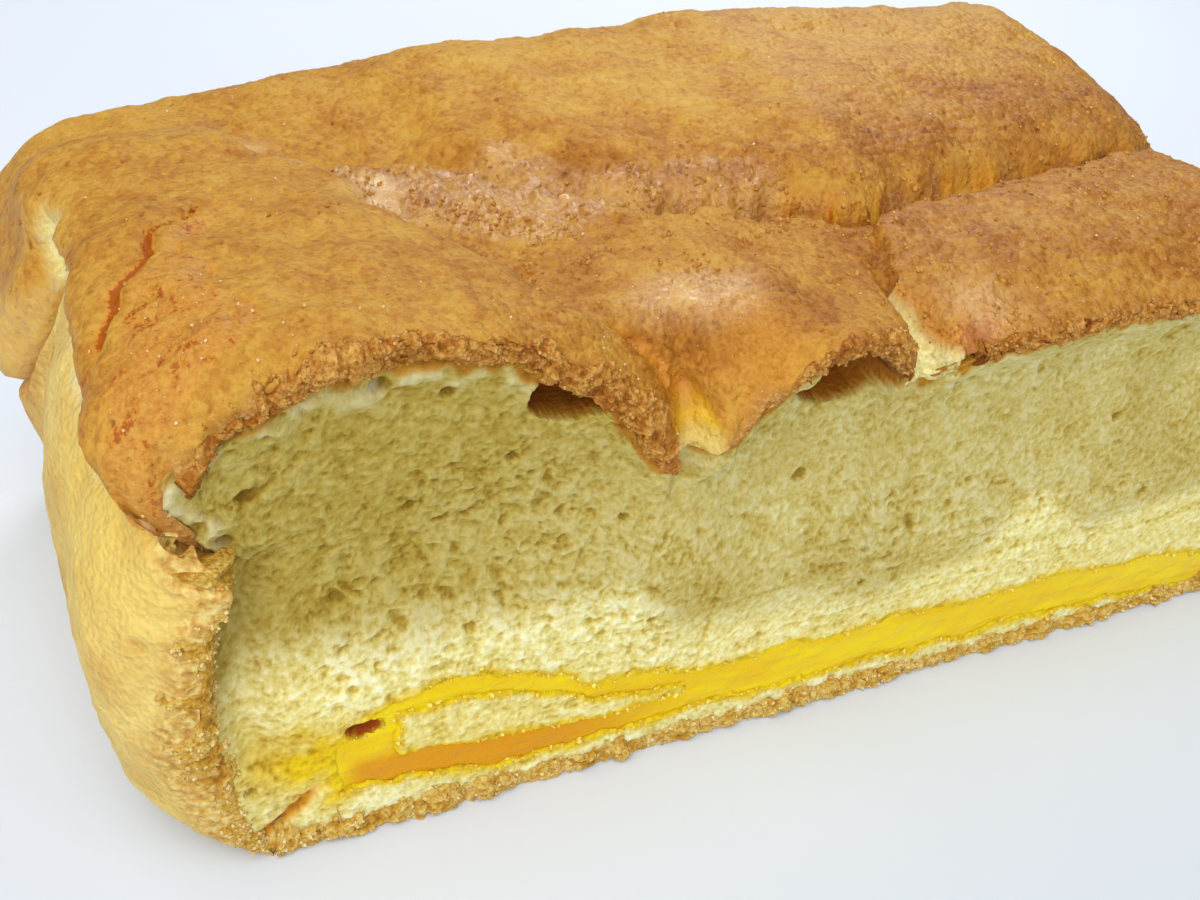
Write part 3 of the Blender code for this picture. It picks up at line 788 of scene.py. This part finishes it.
def clumps(seed, *axes):
    """Broken crumb from about -1 in its gaps to 1 on its clumps."""
    bent = [axis + 0.35 * noise(1.0, seed + n, *axes) for n, axis in enumerate(axes)]
    heaps = 1 - 2.2 * np.abs(noise(2.4, seed + 4, *bent, octaves=2))
    crumbs = 1.1 - 2.2 * spots(1.05, seed + 6, *bent)[0]
    bits = 1.1 - 2.2 * spots(0.55, seed + 8, *bent)[0]
    return 0.4 * heaps + 0.45 * crumbs + 0.25 * bits


def crust_swells(sheet_x, sheet_y):
    """How the whole crust swells and dimples, in millimetres."""
    return (0.7 * noise(15, 123, sheet_x, sheet_y, octaves=2) + 0.28 * noise(5, 125, sheet_x, sheet_y)
            + 0.13 * noise(1.5, 127, sheet_x, sheet_y, octaves=2))


top_crust, across, up = grid("top_crust", 404, 228)
sheet_x = np.interp(across, [0, 0.66, 1], [-FOLD, 112, LENGTH + FOLD])
sheet_y = np.interp(up, [0, 0.1], [-LIP, 0]) + FINE_DEPTH * np.interp(up, [0.1, 0.54], [0, 1]) ** 1.6
sheet_y = sheet_y + np.maximum(up - 0.54, 0) / 0.46 * (DEPTH + FOLD - FINE_DEPTH)
(x, y, z), flat_x, flat_y, over, under, thick = crust_sheet(sheet_x, sheet_y)
place(top_crust, x, y, z)

at_left = ease((16 - flat_x) / 10)
down = over / FOLD
right, back, left = lobe_shares(flat_x, flat_y)
middle = (1 - right) * (1 - back) * (1 - left)
behind = past_crack(flat_x, flat_y)
on_top = 1 - ease(under / 1.2)
at_crack = crack_share(flat_x) * ridge(behind, 2.2) * (1 - left)
at_gap = ease((flat_x - gap_x(flat_y)) / 1.2 + 0.4) * ease(1.3 - 1.3 * right) * ease((13 - flat_y) / 4)
notch = notch_share(flat_x, flat_y) * ease((4 - under) / 2)
in_patch = np.minimum(x - patch_left(y) + 0.5, patch_right(y) - x)
in_patch = in_patch + 1.6 * noise(4, 144, x, y, octaves=3) * ease(in_patch / 5)
patch = ease(in_patch / 4) * ease((44 - y) / 6) * on_top
patch_tear = ridge(x - patch_left(y), 0.5 + 0.5 * ridge(y - 27, 6))
patch_tear = patch_tear * ease((y - 17) / 3) * ease((43 - y) / 2)
opened = side_tear(flat_y, z) * ease((5 - flat_x) / 3)
corner_crease = ridge(flat_y - 71 - 0.8 * noise(5, 119, flat_x), 0.9) * ease((flat_x - 3) / 4) * ease(
    (26 - flat_x) / 5)
pebbles_start = through([(26, 52), (40, 36), (56, 28), (74, 34), (90, 30)], flat_x)
pebbles_end = through([(28, 66), (48, 55), (60, 60), (74, 48), (96, 44)], flat_x)
pebbled = ease((flat_y - pebbles_start) / 5) * ease((pebbles_end - flat_y) / 6)
pebbled = pebbled * ease((100 - flat_x) / 8) * (1 - 0.8 * left)
stuck = np.maximum.reduce([
    0.8 * ridge(behind - 3, 5) * ease((flat_x - 60) / 20),
    0.6 * right * (1 - back),
    0.7 * middle * ease((flat_y - 12) / 10),
])
lumps_near, lumps_size = spots((2.3, 1.9), 121, sheet_x, sheet_y)
lumps = ease(1.1 * (1 - lumps_near / (0.15 + 0.55 * lumps_size**2)))
swells = crust_swells(sheet_x, sheet_y)
pebbles = 0.3 * noise(2.4, 128, sheet_x, sheet_y, octaves=2)
pock_near, pock_size = spots((3.4, 3.0), 129, sheet_x, sheet_y)
pinned = ease(1.5 * (1 - pock_near / (0.04 + 0.07 * pock_size))) * (pock_size > 0.4)
small_pebbles = 0.6 - spots((1.3, 1.2), 130, sheet_x, sheet_y)[0]
torn_edge = ease(under / 0.8)
torn_reach = np.clip(0.7 + 0.7 * noise(2, 131, sheet_x), 0.2, 2)
torn_edge = np.clip(torn_edge + 0.6 * ease(1 - sheet_y / torn_reach), 0, 1)
torn_edge = torn_edge * (1 - down)
torn_edge = np.maximum(torn_edge, 0.8 * at_crack * ease(0.5 + noise(2.5, 133, sheet_x, sheet_y)))
wrinkles = ridge(noise((26, 5), 137, flat_x + 0.4 * flat_y, flat_y, octaves=2), 0.08) * back
pebbly = np.clip(pebbled + 0.8 * stuck + 0.35 + 0.3 * noise(12, 155, flat_x, flat_y), 0, 1)
broken = clumps(156, flat_x, flat_y, z)
# The lip's hidden underside, painted dark brown as shade under the lip.
hidden = ease((under - thick) / 1.5)
raise_surface(top_crust, on_top * (swells + lumps * (0.5 * pebbled + 0.4 * stuck)
                                   + pebbles * (pebbled + 0.6 * stuck) + 0.4 * pebbly * small_pebbles
                                   - 0.3 * pinned - 0.15 * wrinkles)
              + at_crack * (1.2 * broken - 0.2)
              - notch * (ease(flat_y / 3) - 0.6 * clumps(154, flat_x, flat_y, z))
              + (1 - on_top) * crust_swells(sheet_x, 0)
              - 1.1 * patch_tear - 0.5 * corner_crease - 0.4 * torn_edge * (under < thick + 1)
              + opened * (0.8 * noise(2.2, 148, flat_y, z, octaves=3) - 1.3)
              - 0.8 * patch * ease(1.3 * (1 - spots((5, 7), 139, sheet_x, sheet_y)[0] / 0.22))
              + at_gap * (0.9 * broken + 0.4))

# Painted light and shade: the back lobe darker on its front slope and paler towards its crest and back,
# and the middle lobe darker where it dips at the front.
front_slope = ridge(behind - 9, 9) * ease((flat_x - 40) / 30)
mottle = noise((9, 6), 141, flat_x, flat_y, octaves=3)
dip = middle * ease((12 - flat_y) / 6) * ease((flat_y - 2) / 3) * ridge(flat_x - 68, 12)
browning = (0.36 + 0.16 * mottle - 0.10 * back * ease((behind - 24) / 16) + 0.20 * front_slope * back
            + 0.08 * right + 0.14 * middle + 0.5 * dip + 0.1 * pebbled * lumps
            + 0.35 * pinned + 0.5 * corner_crease + 0.06 * left - 0.25 * at_crack * broken
            + 0.16 * ease((flat_x - 80) / 20) * (1 - back))
# Painted sheen, pale and pinkish: along the left lobe's crease, along the fold at the left end, in
# spots on the tongue and the right lobe's nose, and on the tops of the pebbles.
bloom = 0.75 * ridge(flat_x - crease_x(flat_y) - 3 - 1.5 * noise(4, 147, flat_y), 3.6)
bloom = bloom * ease((flat_y - 36) / 6) * ease((74 - flat_y) / 6)
bloom = bloom * (0.8 + 0.4 * noise(2, 157, flat_x, flat_y))
bloom = np.maximum(bloom, 0.6 * ridge(over - 9, 3.5) * at_left * ease((44 - flat_y) / 8))
sugary = np.maximum(middle * ridge(flat_x - 70, 8) * ridge(flat_y - 13, 4),
                    1.3 * right * ridge(flat_x - 109, 6) * ridge(flat_y - 5, 5))
bloom = np.maximum(bloom, 0.3 * sugary * (0.8 + 0.5 * noise(1.6, 159, flat_x, flat_y, octaves=2)))
in_crack = at_crack * ease(0.45 + noise(3.5, 161, flat_x, flat_y)) * ease((flat_x - 84) / 16)
swollen = ease((over - 3) / 4) * at_left * ease((flat_y - 46) / 5)
gap_side = ridge(flat_x - gap_x(flat_y) - gap_width(flat_y) - 1.2, 0.8) * ease((14 - flat_y) / 4)
orange = np.maximum.reduce([
    patch * (0.3 + 0.2 * ease(1.6 * noise(1.3, 143, x, y, octaves=3) - 0.2)),
    0.85 * patch_tear,
    0.3 * right * ridge(flat_x - 107, 9) * ease((12 - flat_y) / 6) * on_top,
    0.6 * corner_crease,
    0.6 * ridge(flat_x - 106, 6) * ease((8 - flat_y) / 6) * on_top,
    0.45 * gap_side * (1 - 0.5 * broken),
    0.28 * middle * ease((16 - flat_y) / 8) * ridge(flat_x - 74, 9),
    at_crack * (0.5 - 0.4 * broken) * ease(0.9 + noise(4, 149, sheet_x)),
    0.35 * swollen * ease(0.4 + noise(3, 151, flat_y, z, octaves=2)),
])
open_crumb = np.maximum.reduce([at_gap, 0.25 * swollen, opened])
sheen = np.maximum.reduce([
    0.5 * patch,
    pebbled,
    1.1 * ridge(flat_x - 69, 11) * ridge(flat_y - 13, 6) * middle,
    0.6 * notch,
    0.9 * right * ridge(flat_x - 109, 7) * ridge(flat_y - 5, 6),
    0.35 + 0.1 * right,
])
keep(top_crust, browned=np.clip(browning, 0, 1), orange=np.clip(orange, 0, 1), deep=hidden,
     torn=np.clip(torn_edge, 0, 1), pale=np.clip(open_crumb, 0, 1), glossy=np.clip(sheen, 0, 1),
     eggy=np.maximum(notch * (0.9 + 0.2 * noise(1.5, 153, flat_x, flat_y)), 0.7 * in_crack),
     rawness=np.maximum(ease((3.4 - flat_y) / 5), 0.5 * in_crack * ease(0.5 + broken)),
     bloom=np.clip(bloom + 0.2 * pebbled * lumps, 0, 1))
stuck_places = pick_places(top_crust, on_top * np.clip(stuck + 0.5 * pebbled + 0.04, 0, 1) ** 1.5
                           * ease(1.6 * noise(4, 145, flat_x, flat_y, octaves=2)) * (1 - down), 1500, 4)
sparkle_places = pick_places(top_crust, patch * on_top + 0.5 * ridge(under - 0.3, 0.8), 500, 5)


def inward(x, y, z):
    """Draws the shell's rim in behind the crumb and down to one level."""
    middle_x, middle_y = LENGTH / 2, DEPTH / 2
    front = ease((24 - y) / 4)
    return x + (middle_x - x) * 0.12, y + (middle_y - y) * 0.14 * (1 - front) + (24 - y) * front, z


close_behind(top_crust, [inward, lambda x, y, z: (x, y, 40 + 0 * z)])

# Egg-and-sugar crust, browned in the oven: satin, fine-skinned and a little waxy with fat, matt and
# crumbly where it is torn. A pale pinkish painted sheen lies on parts of it, and painted shade on the
# back lobe's front slope, where the middle lobe dips at the front and on the lip's hidden underside.
# IOR 1.47 is that of cooking fat, which wets it.
browned_crust, shader, node = new_material("browned castella crust")
position = node("TexCoord", out="Object")
browned, orange_at, torn_at, pale_at, deep_at, glossy_at, bloom_at, eggy_at, rawness = (
    node("Attribute", out="Fac", attribute_name=name)
    for name in ("browned", "orange", "torn", "pale", "deep", "glossy", "bloom", "eggy", "rawness"))
speckle = node("TexNoise", {"Vector": position, "Scale": 1 / (0.6 * MM), "Detail": 4,
                            "Roughness": 0.6})
patches = node("TexNoise", {"Vector": position, "Scale": 1 / (7 * MM), "Detail": 5})
pits = node("TexVoronoi", {"Vector": position, "Scale": 1 / (1.5 * MM)})
pebble = node("TexVoronoi", {"Vector": position, "Scale": 1 / (1.1 * MM), "Smoothness": 0.6},
              feature="SMOOTH_F1")
pin_holes = node("MapRange", {"Value": pits, 1: 0.08, 2: 0.2})
tone = browned
for texture, strength in ((speckle, 0.8), (patches, 0.6), (pebble.node.outputs["Color"], 0.45)):
    tone = node("Math", {0: texture, 1: strength, 2: tone}, operation="MULTIPLY_ADD")
bake = node("MapRange", {"Value": tone, 1: 0.9, 2: 1.97})
colour = node("ValToRGB", {"Fac": bake}, ramp=[
    (0.0, "d2a648"), (1.0, "84470c"), (0.3, "c89338"), (0.55, "b87c2c"), (0.8, "a2621a")])
warmth = node("Math", {0: speckle, 1: 1.0, 2: orange_at}, operation="MULTIPLY_ADD")
orange_ramp = node("ValToRGB", {"Fac": warmth}, ramp=[
    (0.65, "d79b3e"), (1.25, "a8560c"), (0.95, "c67e20")])
orange_share = node("MapRange", {"Value": orange_at, 1: 0.1, 2: 0.5})
grain_tone = node("MapRange", {"Value": speckle, 1: 0.32, 2: 0.66})
torn_ramp = node("ValToRGB", {"Fac": grain_tone}, ramp=[
    (0.0, "84481a"), (1.0, "e0b878"), (0.5, "b57a38")])
pale_tone = node("Mix", {0: grain_tone, 6: "e0c65e", 7: "f4edb6"}, out=2, data_type="RGBA")
eggy_ramp = node("ValToRGB", {"Fac": rawness}, ramp=[
    (0.1, "cc8420"), (0.95, "f2e6a0"), (0.6, "e8bc2c")])
# e6bf84 is the painted sheen.
for share, over in ((orange_share, orange_ramp), (bloom_at, "e6bf84"), (torn_at, torn_ramp),
                    # 7e4a1a is painted shade on the lip's hidden underside.
                    (pale_at, pale_tone), (eggy_at, eggy_ramp), (deep_at, "7e4a1a")):
    colour = node("Mix", {0: share, 6: colour, 7: over}, out=2, data_type="RGBA")
height = speckle
for texture, strength in ((pin_holes, 0.5), (pebble, -1.1)):
    height = node("Math", {0: texture, 1: strength, 2: height}, operation="MULTIPLY_ADD")
bump = node("Bump", {"Height": height, "Distance": 0.4 * MM, "Strength": 0.8})
satin = node("MapRange", {"Value": glossy_at, 3: 0.6, 4: 0.25})
rough = node("Mix", {0: torn_at, 2: satin, 3: 0.8})
shine = node("MapRange", {"Value": glossy_at, 1: 0.3, 2: 0.9, 3: 0.08, 4: 0.7})
feed(shader, {"Base Color": colour, "Normal": bump, "Roughness": rough, "IOR": 1.47,
              "Specular IOR Level": shine, "Subsurface Weight": 0.08,
              "Subsurface Radius": (1, 0.5, 0.15), "Subsurface Scale": 1 * MM})
finish_piece(top_crust, browned_crust, "sponge", "sponge")

# --------------------------------------------------------------------------------
# Torn edges. Where the crust, the base and the skin broke at the cut: rough toasted crumb in clumps
# of a millimetre or less, with painted shade in its gaps and painted highlight at its tips. A strip
# lies over each lobe's edge, one over the base's and one over the skin's.

STRIP_FINENESS = 5  # faces for each millimetre of a strip
STRIP_ABOVE, STRIP_BELOW = 1.8, 1.2  # how far a strip reaches past its torn part, sunk in the crust
CRUMBS_PER_MM = 11

def break_up(piece, relief, shown, most, sink=1.3):
    """Roughens the strip by this much where it shows, sinks it where not, and keeps its tones."""
    raise_surface(piece, most * (0.35 + relief) * shown - sink * (1 - shown))
    # The tone follows the relief, for painted shade in the gaps and painted highlight on the tips.
    keep(piece, tone=np.clip(0.5 + 0.5 * relief, 0, 1))


def broken_material(name, gap, clump, tip):
    """Toasted broken crumb: painted shade in its gaps, paler on its clumps, painted highlight at their
    tips.
    """
    material, shader, node = new_material(name)
    position = node("TexCoord", out="Object")
    tone = node("Attribute", out="Fac", attribute_name="tone")
    flecks = node("TexNoise", {"Vector": position, "Scale": 1 / (0.45 * MM), "Detail": 3})
    mixed = node("Math", {0: flecks, 1: 0.7, 2: tone}, operation="MULTIPLY_ADD")
    share = node("MapRange", {"Value": mixed, 1: 0.35, 2: 1.3})
    colour = node("ValToRGB", {"Fac": share}, ramp=[(0.0, gap), (1.0, tip), (0.5, clump)])
    bits = node("TexVoronoi", {"Vector": position, "Scale": 1 / (0.6 * MM)})
    height = node("Math", {0: bits, 1: -0.9, 2: flecks}, operation="MULTIPLY_ADD")
    bump = node("Bump", {"Height": height, "Distance": 0.4 * MM, "Strength": 0.9})
    feed(shader, {"Base Color": colour, "Normal": bump, "Roughness": 0.5, "IOR": 1.46,
                  "Specular IOR Level": 0.2, "Subsurface Weight": 0.1,
                  "Subsurface Radius": (1, 0.5, 0.15), "Subsurface Scale": 0.8 * MM})
    return material


def torn_strip(name, start, end, seed):
    """One lobe's torn, toasted edge, between these places along the cut, and places for crumbs."""
    strip, across, up = grid(name, round(STRIP_FINENESS * (end - start)), 74)
    flat_x = start + across * (end - start)
    reach_up = through([(4, 0.2), (12, 0.6), (24, 1.3), (40, 1.5), (56, 2.4), (64, 3), (76, 0.2),
                        (84, 0.6), (95, 0.9), (102, 0.3), (110, 0.6), (LENGTH, 0.5)], flat_x)
    reach_down = lip_thickness(flat_x) + through([
        (4, 0.2), (14, 0.8), (50, 1), (60, 2.4), (65, 3), (76, 0.2), (84, 0.6), (LENGTH, 0.5)], flat_x)
    sheet_y = (reach_up + STRIP_ABOVE) * up - (reach_down + STRIP_BELOW) * (1 - up)
    sheet_y = np.where(sheet_y > 0, sheet_y * np.abs(sheet_y) / (reach_up + STRIP_ABOVE), sheet_y)
    (x, y, z), flat_x = crust_sheet(flat_x, sheet_y)[:2]
    relief = clumps(seed, x, y, z)
    ragged = 1.1 * noise(2.2, seed + 11, flat_x, sheet_y, octaves=2) + 0.5 * relief
    shown = ease((reach_up * (1 + 0.35 * noise(5, seed + 12, flat_x)) + ragged - sheet_y) / 0.8)
    shown = shown * ease((sheet_y + reach_down + 0.6 * ragged) / 0.8)
    shown = shown * ease((flat_x - start - 0.4) / 1.2 + 0.2 * relief)
    shown = shown * ease((end - flat_x - 0.4) / 0.8 + 0.2 * relief)
    place(strip, x, y, z)
    raise_surface(strip, crust_swells(flat_x, sheet_y))
    break_up(strip, relief, shown, 0.55)
    places = pick_places(strip, (shown > 0.7) * (relief > 0.2) * (up > 0.05) * (up < 0.95),
                         round(CRUMBS_PER_MM * (end - start)), seed)
    close_behind(strip, [lambda x, y, z: (x, y + 2.5, z - 1.2)])
    finish_piece(strip, toasted_break, "sponge", "sponge")
    return places


toasted_break = broken_material("toasted torn crumb", "6a3208", "ac6a1c", "e2ae56")
left_places = torn_strip("torn_left_lip", 4, 64.6, 171)
tongue_places = torn_strip("torn_tongue_lip", 75, 95.4, 201)
right_places = torn_strip("torn_right_lip", 105.6, LENGTH - 0.6, 231)

base_edge, across, up = grid("base_edge", 900, 40)
flat_x = cut_left(0) + 0.4 + across * (LENGTH - cut_left(0) - 2.4)
rise = through([(0, 3.6), (14, 4.2), (22, 3), (60, 2.3), (120, 2.2), (LENGTH, 1.4)], flat_x)
relief = clumps(181, flat_x, 6 * up)
shown = ease((rise + 0.8 * noise(2, 183, flat_x, octaves=2) + 0.4 * relief) / rise / 0.3 - 2.6 * up)
bulge = np.sin(np.pi * np.clip(up * 1.15, 0, 1)) ** 0.6
z = 0.5 + np.maximum(up - 0.18, 0) / 0.82 * (rise + 1.2)
y = 1.6 * ease(1 - up / 0.18) - 0.9 * bulge + 0.6 * up + 0.6 * noise(2.5, 185, flat_x, octaves=2)
place(base_edge, flat_x, y + 0.3, z)
break_up(base_edge, relief, shown, 0.6)
base_places = pick_places(base_edge, shown * (relief > 0.3) * (z > 0.6), 1600, 1)
close_behind(base_edge, [lambda x, y, z: (x, y + 2.5, np.clip(z, 0.5, 2))])
golden_break = broken_material("golden broken crumb", "a26618", "ca9832", "e6ca70")
finish_piece(base_edge, golden_break, "sponge", "sponge")

SKIN_EDGE_FOOT, SKIN_EDGE_TALL = 0.8, 46

skin_edge, across, up = grid("skin_edge", 300, 60)
z = SKIN_EDGE_FOOT + across * SKIN_EDGE_TALL
inward = 3.6 - up * 8.6  # distance in from the cake's end, below 0 along its side
flat_y = np.maximum(-inward, 0) ** 2 / 5
x, y = ends_and_back(0 * z, flat_y, z)
x = x + np.maximum(inward, 0)
y = y - 0.1 + (hollow_back(x, z) + 1.4) * ease(inward / 3.4)
relief = clumps(191, x, y, z)
shown = ease((0.9 - up) / 0.2 - 1.2 + 0.6 * noise(2.5, 193, 7 * up, z, octaves=2) + 0.6 * relief)
shown = shown * ease(up / 0.2 + 0.5 * relief - 0.3)
shown = shown * ease(across / 0.02) * ease((1 - across) / 0.2 + 0.4 * relief)
place(skin_edge, x, y, z)
break_up(skin_edge, relief, shown, 0.35, 1.0)
skin_places = pick_places(skin_edge, shown * (relief > 0.3), 700, 6)
close_behind(skin_edge, [lambda x, y, z: (x + 2.5, y + 2.5, z)])
finish_piece(skin_edge, golden_break, "sponge", "sponge")

# --------------------------------------------------------------------------------
# Loose and broken crumbs. What the knife tore from the crust's edge, bits of crust stuck to the top,
# toasted grains along the base and the skin's edge, grains of cheese, and beads of fat and sugar.

GRAIN_SINK = 0.35  # share of a grain's radius that lies in the surface


def grains(name, places, least, most, seed):
    """One mesh of uneven grains of these radii in millimetres, one on each place."""
    points, normals = places
    bpy.ops.object.select_all(action="DESELECT")
    bpy.ops.mesh.primitive_ico_sphere_add(subdivisions=1, radius=1)
    piece = bpy.context.object
    piece.name = piece.data.name = name
    repeated = piece.modifiers.new("repeated", "ARRAY")
    repeated.count = len(points)
    repeated.use_relative_offset = False
    bpy.ops.object.modifier_apply(modifier=repeated.name)
    shape = points_of(piece).reshape(len(points), -1, 3)
    shape = shape / np.linalg.norm(shape, axis=2, keepdims=True)
    random = np.random.default_rng(seed)
    shape = shape * random.uniform(0.65, 1.3, shape.shape[:2] + (1,))
    shape = shape * random.uniform(0.75, 1.25, (len(points), 1, 3))
    turns = np.linalg.qr(random.normal(size=(len(points), 3, 3)))[0]
    shape = np.einsum("nij,nkj->nki", turns, shape)
    radius = (least + (most - least) * random.random(len(points)) ** 2.2)[:, None, None] * MM
    shape = shape * radius + (points + normals * radius[:, 0] * (1 - 2 * GRAIN_SINK))[:, None]
    move_points(piece, shape)
    keep(piece, tone=np.repeat(random.random(len(points)), shape.shape[1]))
    return piece


def grain_material(name, dark, light, roughness):
    """A crumb's colour, which differs from grain to grain between these two."""
    material, shader, node = new_material(name)
    position = node("TexCoord", out="Object")
    tone = node("Attribute", out="Fac", attribute_name="tone")
    flecks = node("TexNoise", {"Vector": position, "Scale": 1 / (0.4 * MM), "Detail": 2})
    mixed = node("Math", {0: flecks, 1: 0.5, 2: tone}, operation="MULTIPLY_ADD")
    share = node("MapRange", {"Value": mixed, 1: 0.1, 2: 1.3})
    colour = node("Mix", {0: share, 6: dark, 7: light}, out=2, data_type="RGBA")
    feed(shader, {"Base Color": colour, "Roughness": roughness, "Specular IOR Level": 0.25})
    return material


# Toasted crumb, torn: dry, dark where it caught, paler at its broken tips.
toasted_crumb = grain_material("toasted loose crumb", "8a4c12", "d8a352", 0.5)
# Bits of browned crust and sugar that stuck to the top as it baked.
stuck_crust = grain_material("stuck crust crumbs", "ac6c26", "cc9440", 0.4)
# Golden crumb where the base and the skin broke.
golden_crumb = grain_material("golden loose crumb", "c48a32", "f0dc98", 0.5)
# Grains of melted cheese beside the cut layer, wet with fat.
wet_cheese = grain_material("wet cheese grains", "e6b410", "f6e070", 0.2)
# Beads of fat and melted sugar on the torn glossy place and along the torn edge.
melted_sugar = grain_material("melted sugar beads", "e0a050", "f2dcb0", 0.12)

lip_places = [np.concatenate(each) for each in zip(left_places, tongue_places, right_places)]
for name, places, least, most, seed, material, slot in (
    ("lip_grains", lip_places, 0.08, 0.28, 11, toasted_crumb, "sponge"),
    ("stuck_grains", stuck_places, 0.1, 0.42, 12, stuck_crust, "sponge"),
    ("base_grains", base_places, 0.08, 0.28, 13, golden_crumb, "sponge"),
    ("skin_grains", skin_places, 0.08, 0.28, 16, golden_crumb, "sponge"),
    ("cheese_grains", speck_places, 0.12, 0.4, 14, wet_cheese, "cheese"),
    ("sugar_beads", sparkle_places, 0.08, 0.22, 15, melted_sugar, "sponge"),
):
    finish_piece(grains(name, places, least, most, seed), material, slot)

# --------------------------------------------------------------------------------
# Floor, lights and camera. A plain pale floor, a large soft light above at the left, a small one
# behind at the right as from a window, a weaker one in front, and the camera at the cut's left corner.

CAMERA_AT = (-15.43, -119.76, 150.73)  # millimetres from the corner
CAMERA_TURN, CAMERA_DOWN, CAMERA_ROLL = 29.11, 35.0, 6.74  # degrees
CAMERA_LENS, CAMERA_SENSOR = 43.09, 36  # millimetres
LIT_AT = (0, 0, 0.03)  # metres, the cake's middle

bpy.ops.object.select_all(action="DESELECT")
bpy.ops.mesh.primitive_plane_add(size=4)
floor = bpy.context.object
floor.name = "floor"
plain_white, shader = new_material("matt white card")[:2]
feed(shader, {"Base Color": "e0e6ef", "Roughness": 0.9, "Specular IOR Level": 0.1})
floor.data.materials.append(plain_white)


def soft_light(name, size, power, place_at, colour):
    """A square soft light that faces the cake."""
    bpy.ops.object.light_add(type="AREA", location=place_at)
    light = bpy.context.object
    light.name = name
    light.data.size = size
    light.data.energy = power
    light.data.color = colour
    facing = Vector(LIT_AT) - Vector(place_at)
    light.rotation_euler = facing.to_track_quat("-Z", "Y").to_euler()


soft_light("window_light", 0.22, 1.6, (0.28, 0.43, 0.42), (1, 0.98, 0.96))
soft_light("ceiling_light", 1.0, 6.3, (-0.34, -0.24, 0.80), (1, 0.99, 0.97))
soft_light("front_fill", 0.8, 3.8, (-0.34, -0.75, 0.42), (0.94, 0.97, 1))
world = bpy.data.worlds.new("pale room")
bpy.context.scene.world = world
world.use_nodes = True
feed(world.node_tree.nodes["Background"], {"Color": "e4edfb", "Strength": 0.36})

turn, tilt, roll = (math.radians(angle) for angle in (CAMERA_TURN, CAMERA_DOWN, CAMERA_ROLL))
forward = Vector((math.sin(turn) * math.cos(tilt), math.cos(turn) * math.cos(tilt), -math.sin(tilt)))
level = Vector((math.cos(turn), -math.sin(turn), 0))
upward = level.cross(forward)
view_right = level * math.cos(roll) + upward * math.sin(roll)
view_up = upward * math.cos(roll) - level * math.sin(roll)
camera = bpy.data.objects.new("camera", bpy.data.cameras.new("camera"))
bpy.context.scene.collection.objects.link(camera)
camera.data.sensor_width = CAMERA_SENSOR
camera.data.lens = CAMERA_LENS
camera.data.clip_start = 0.01
camera.matrix_world = Matrix.Translation(corner + Vector(CAMERA_AT) * MM) @ Matrix(
    (view_right, view_up, -forward)).transposed().to_4x4()
bpy.context.scene.camera = camera
bpy.context.scene.view_settings.view_transform = "Standard"
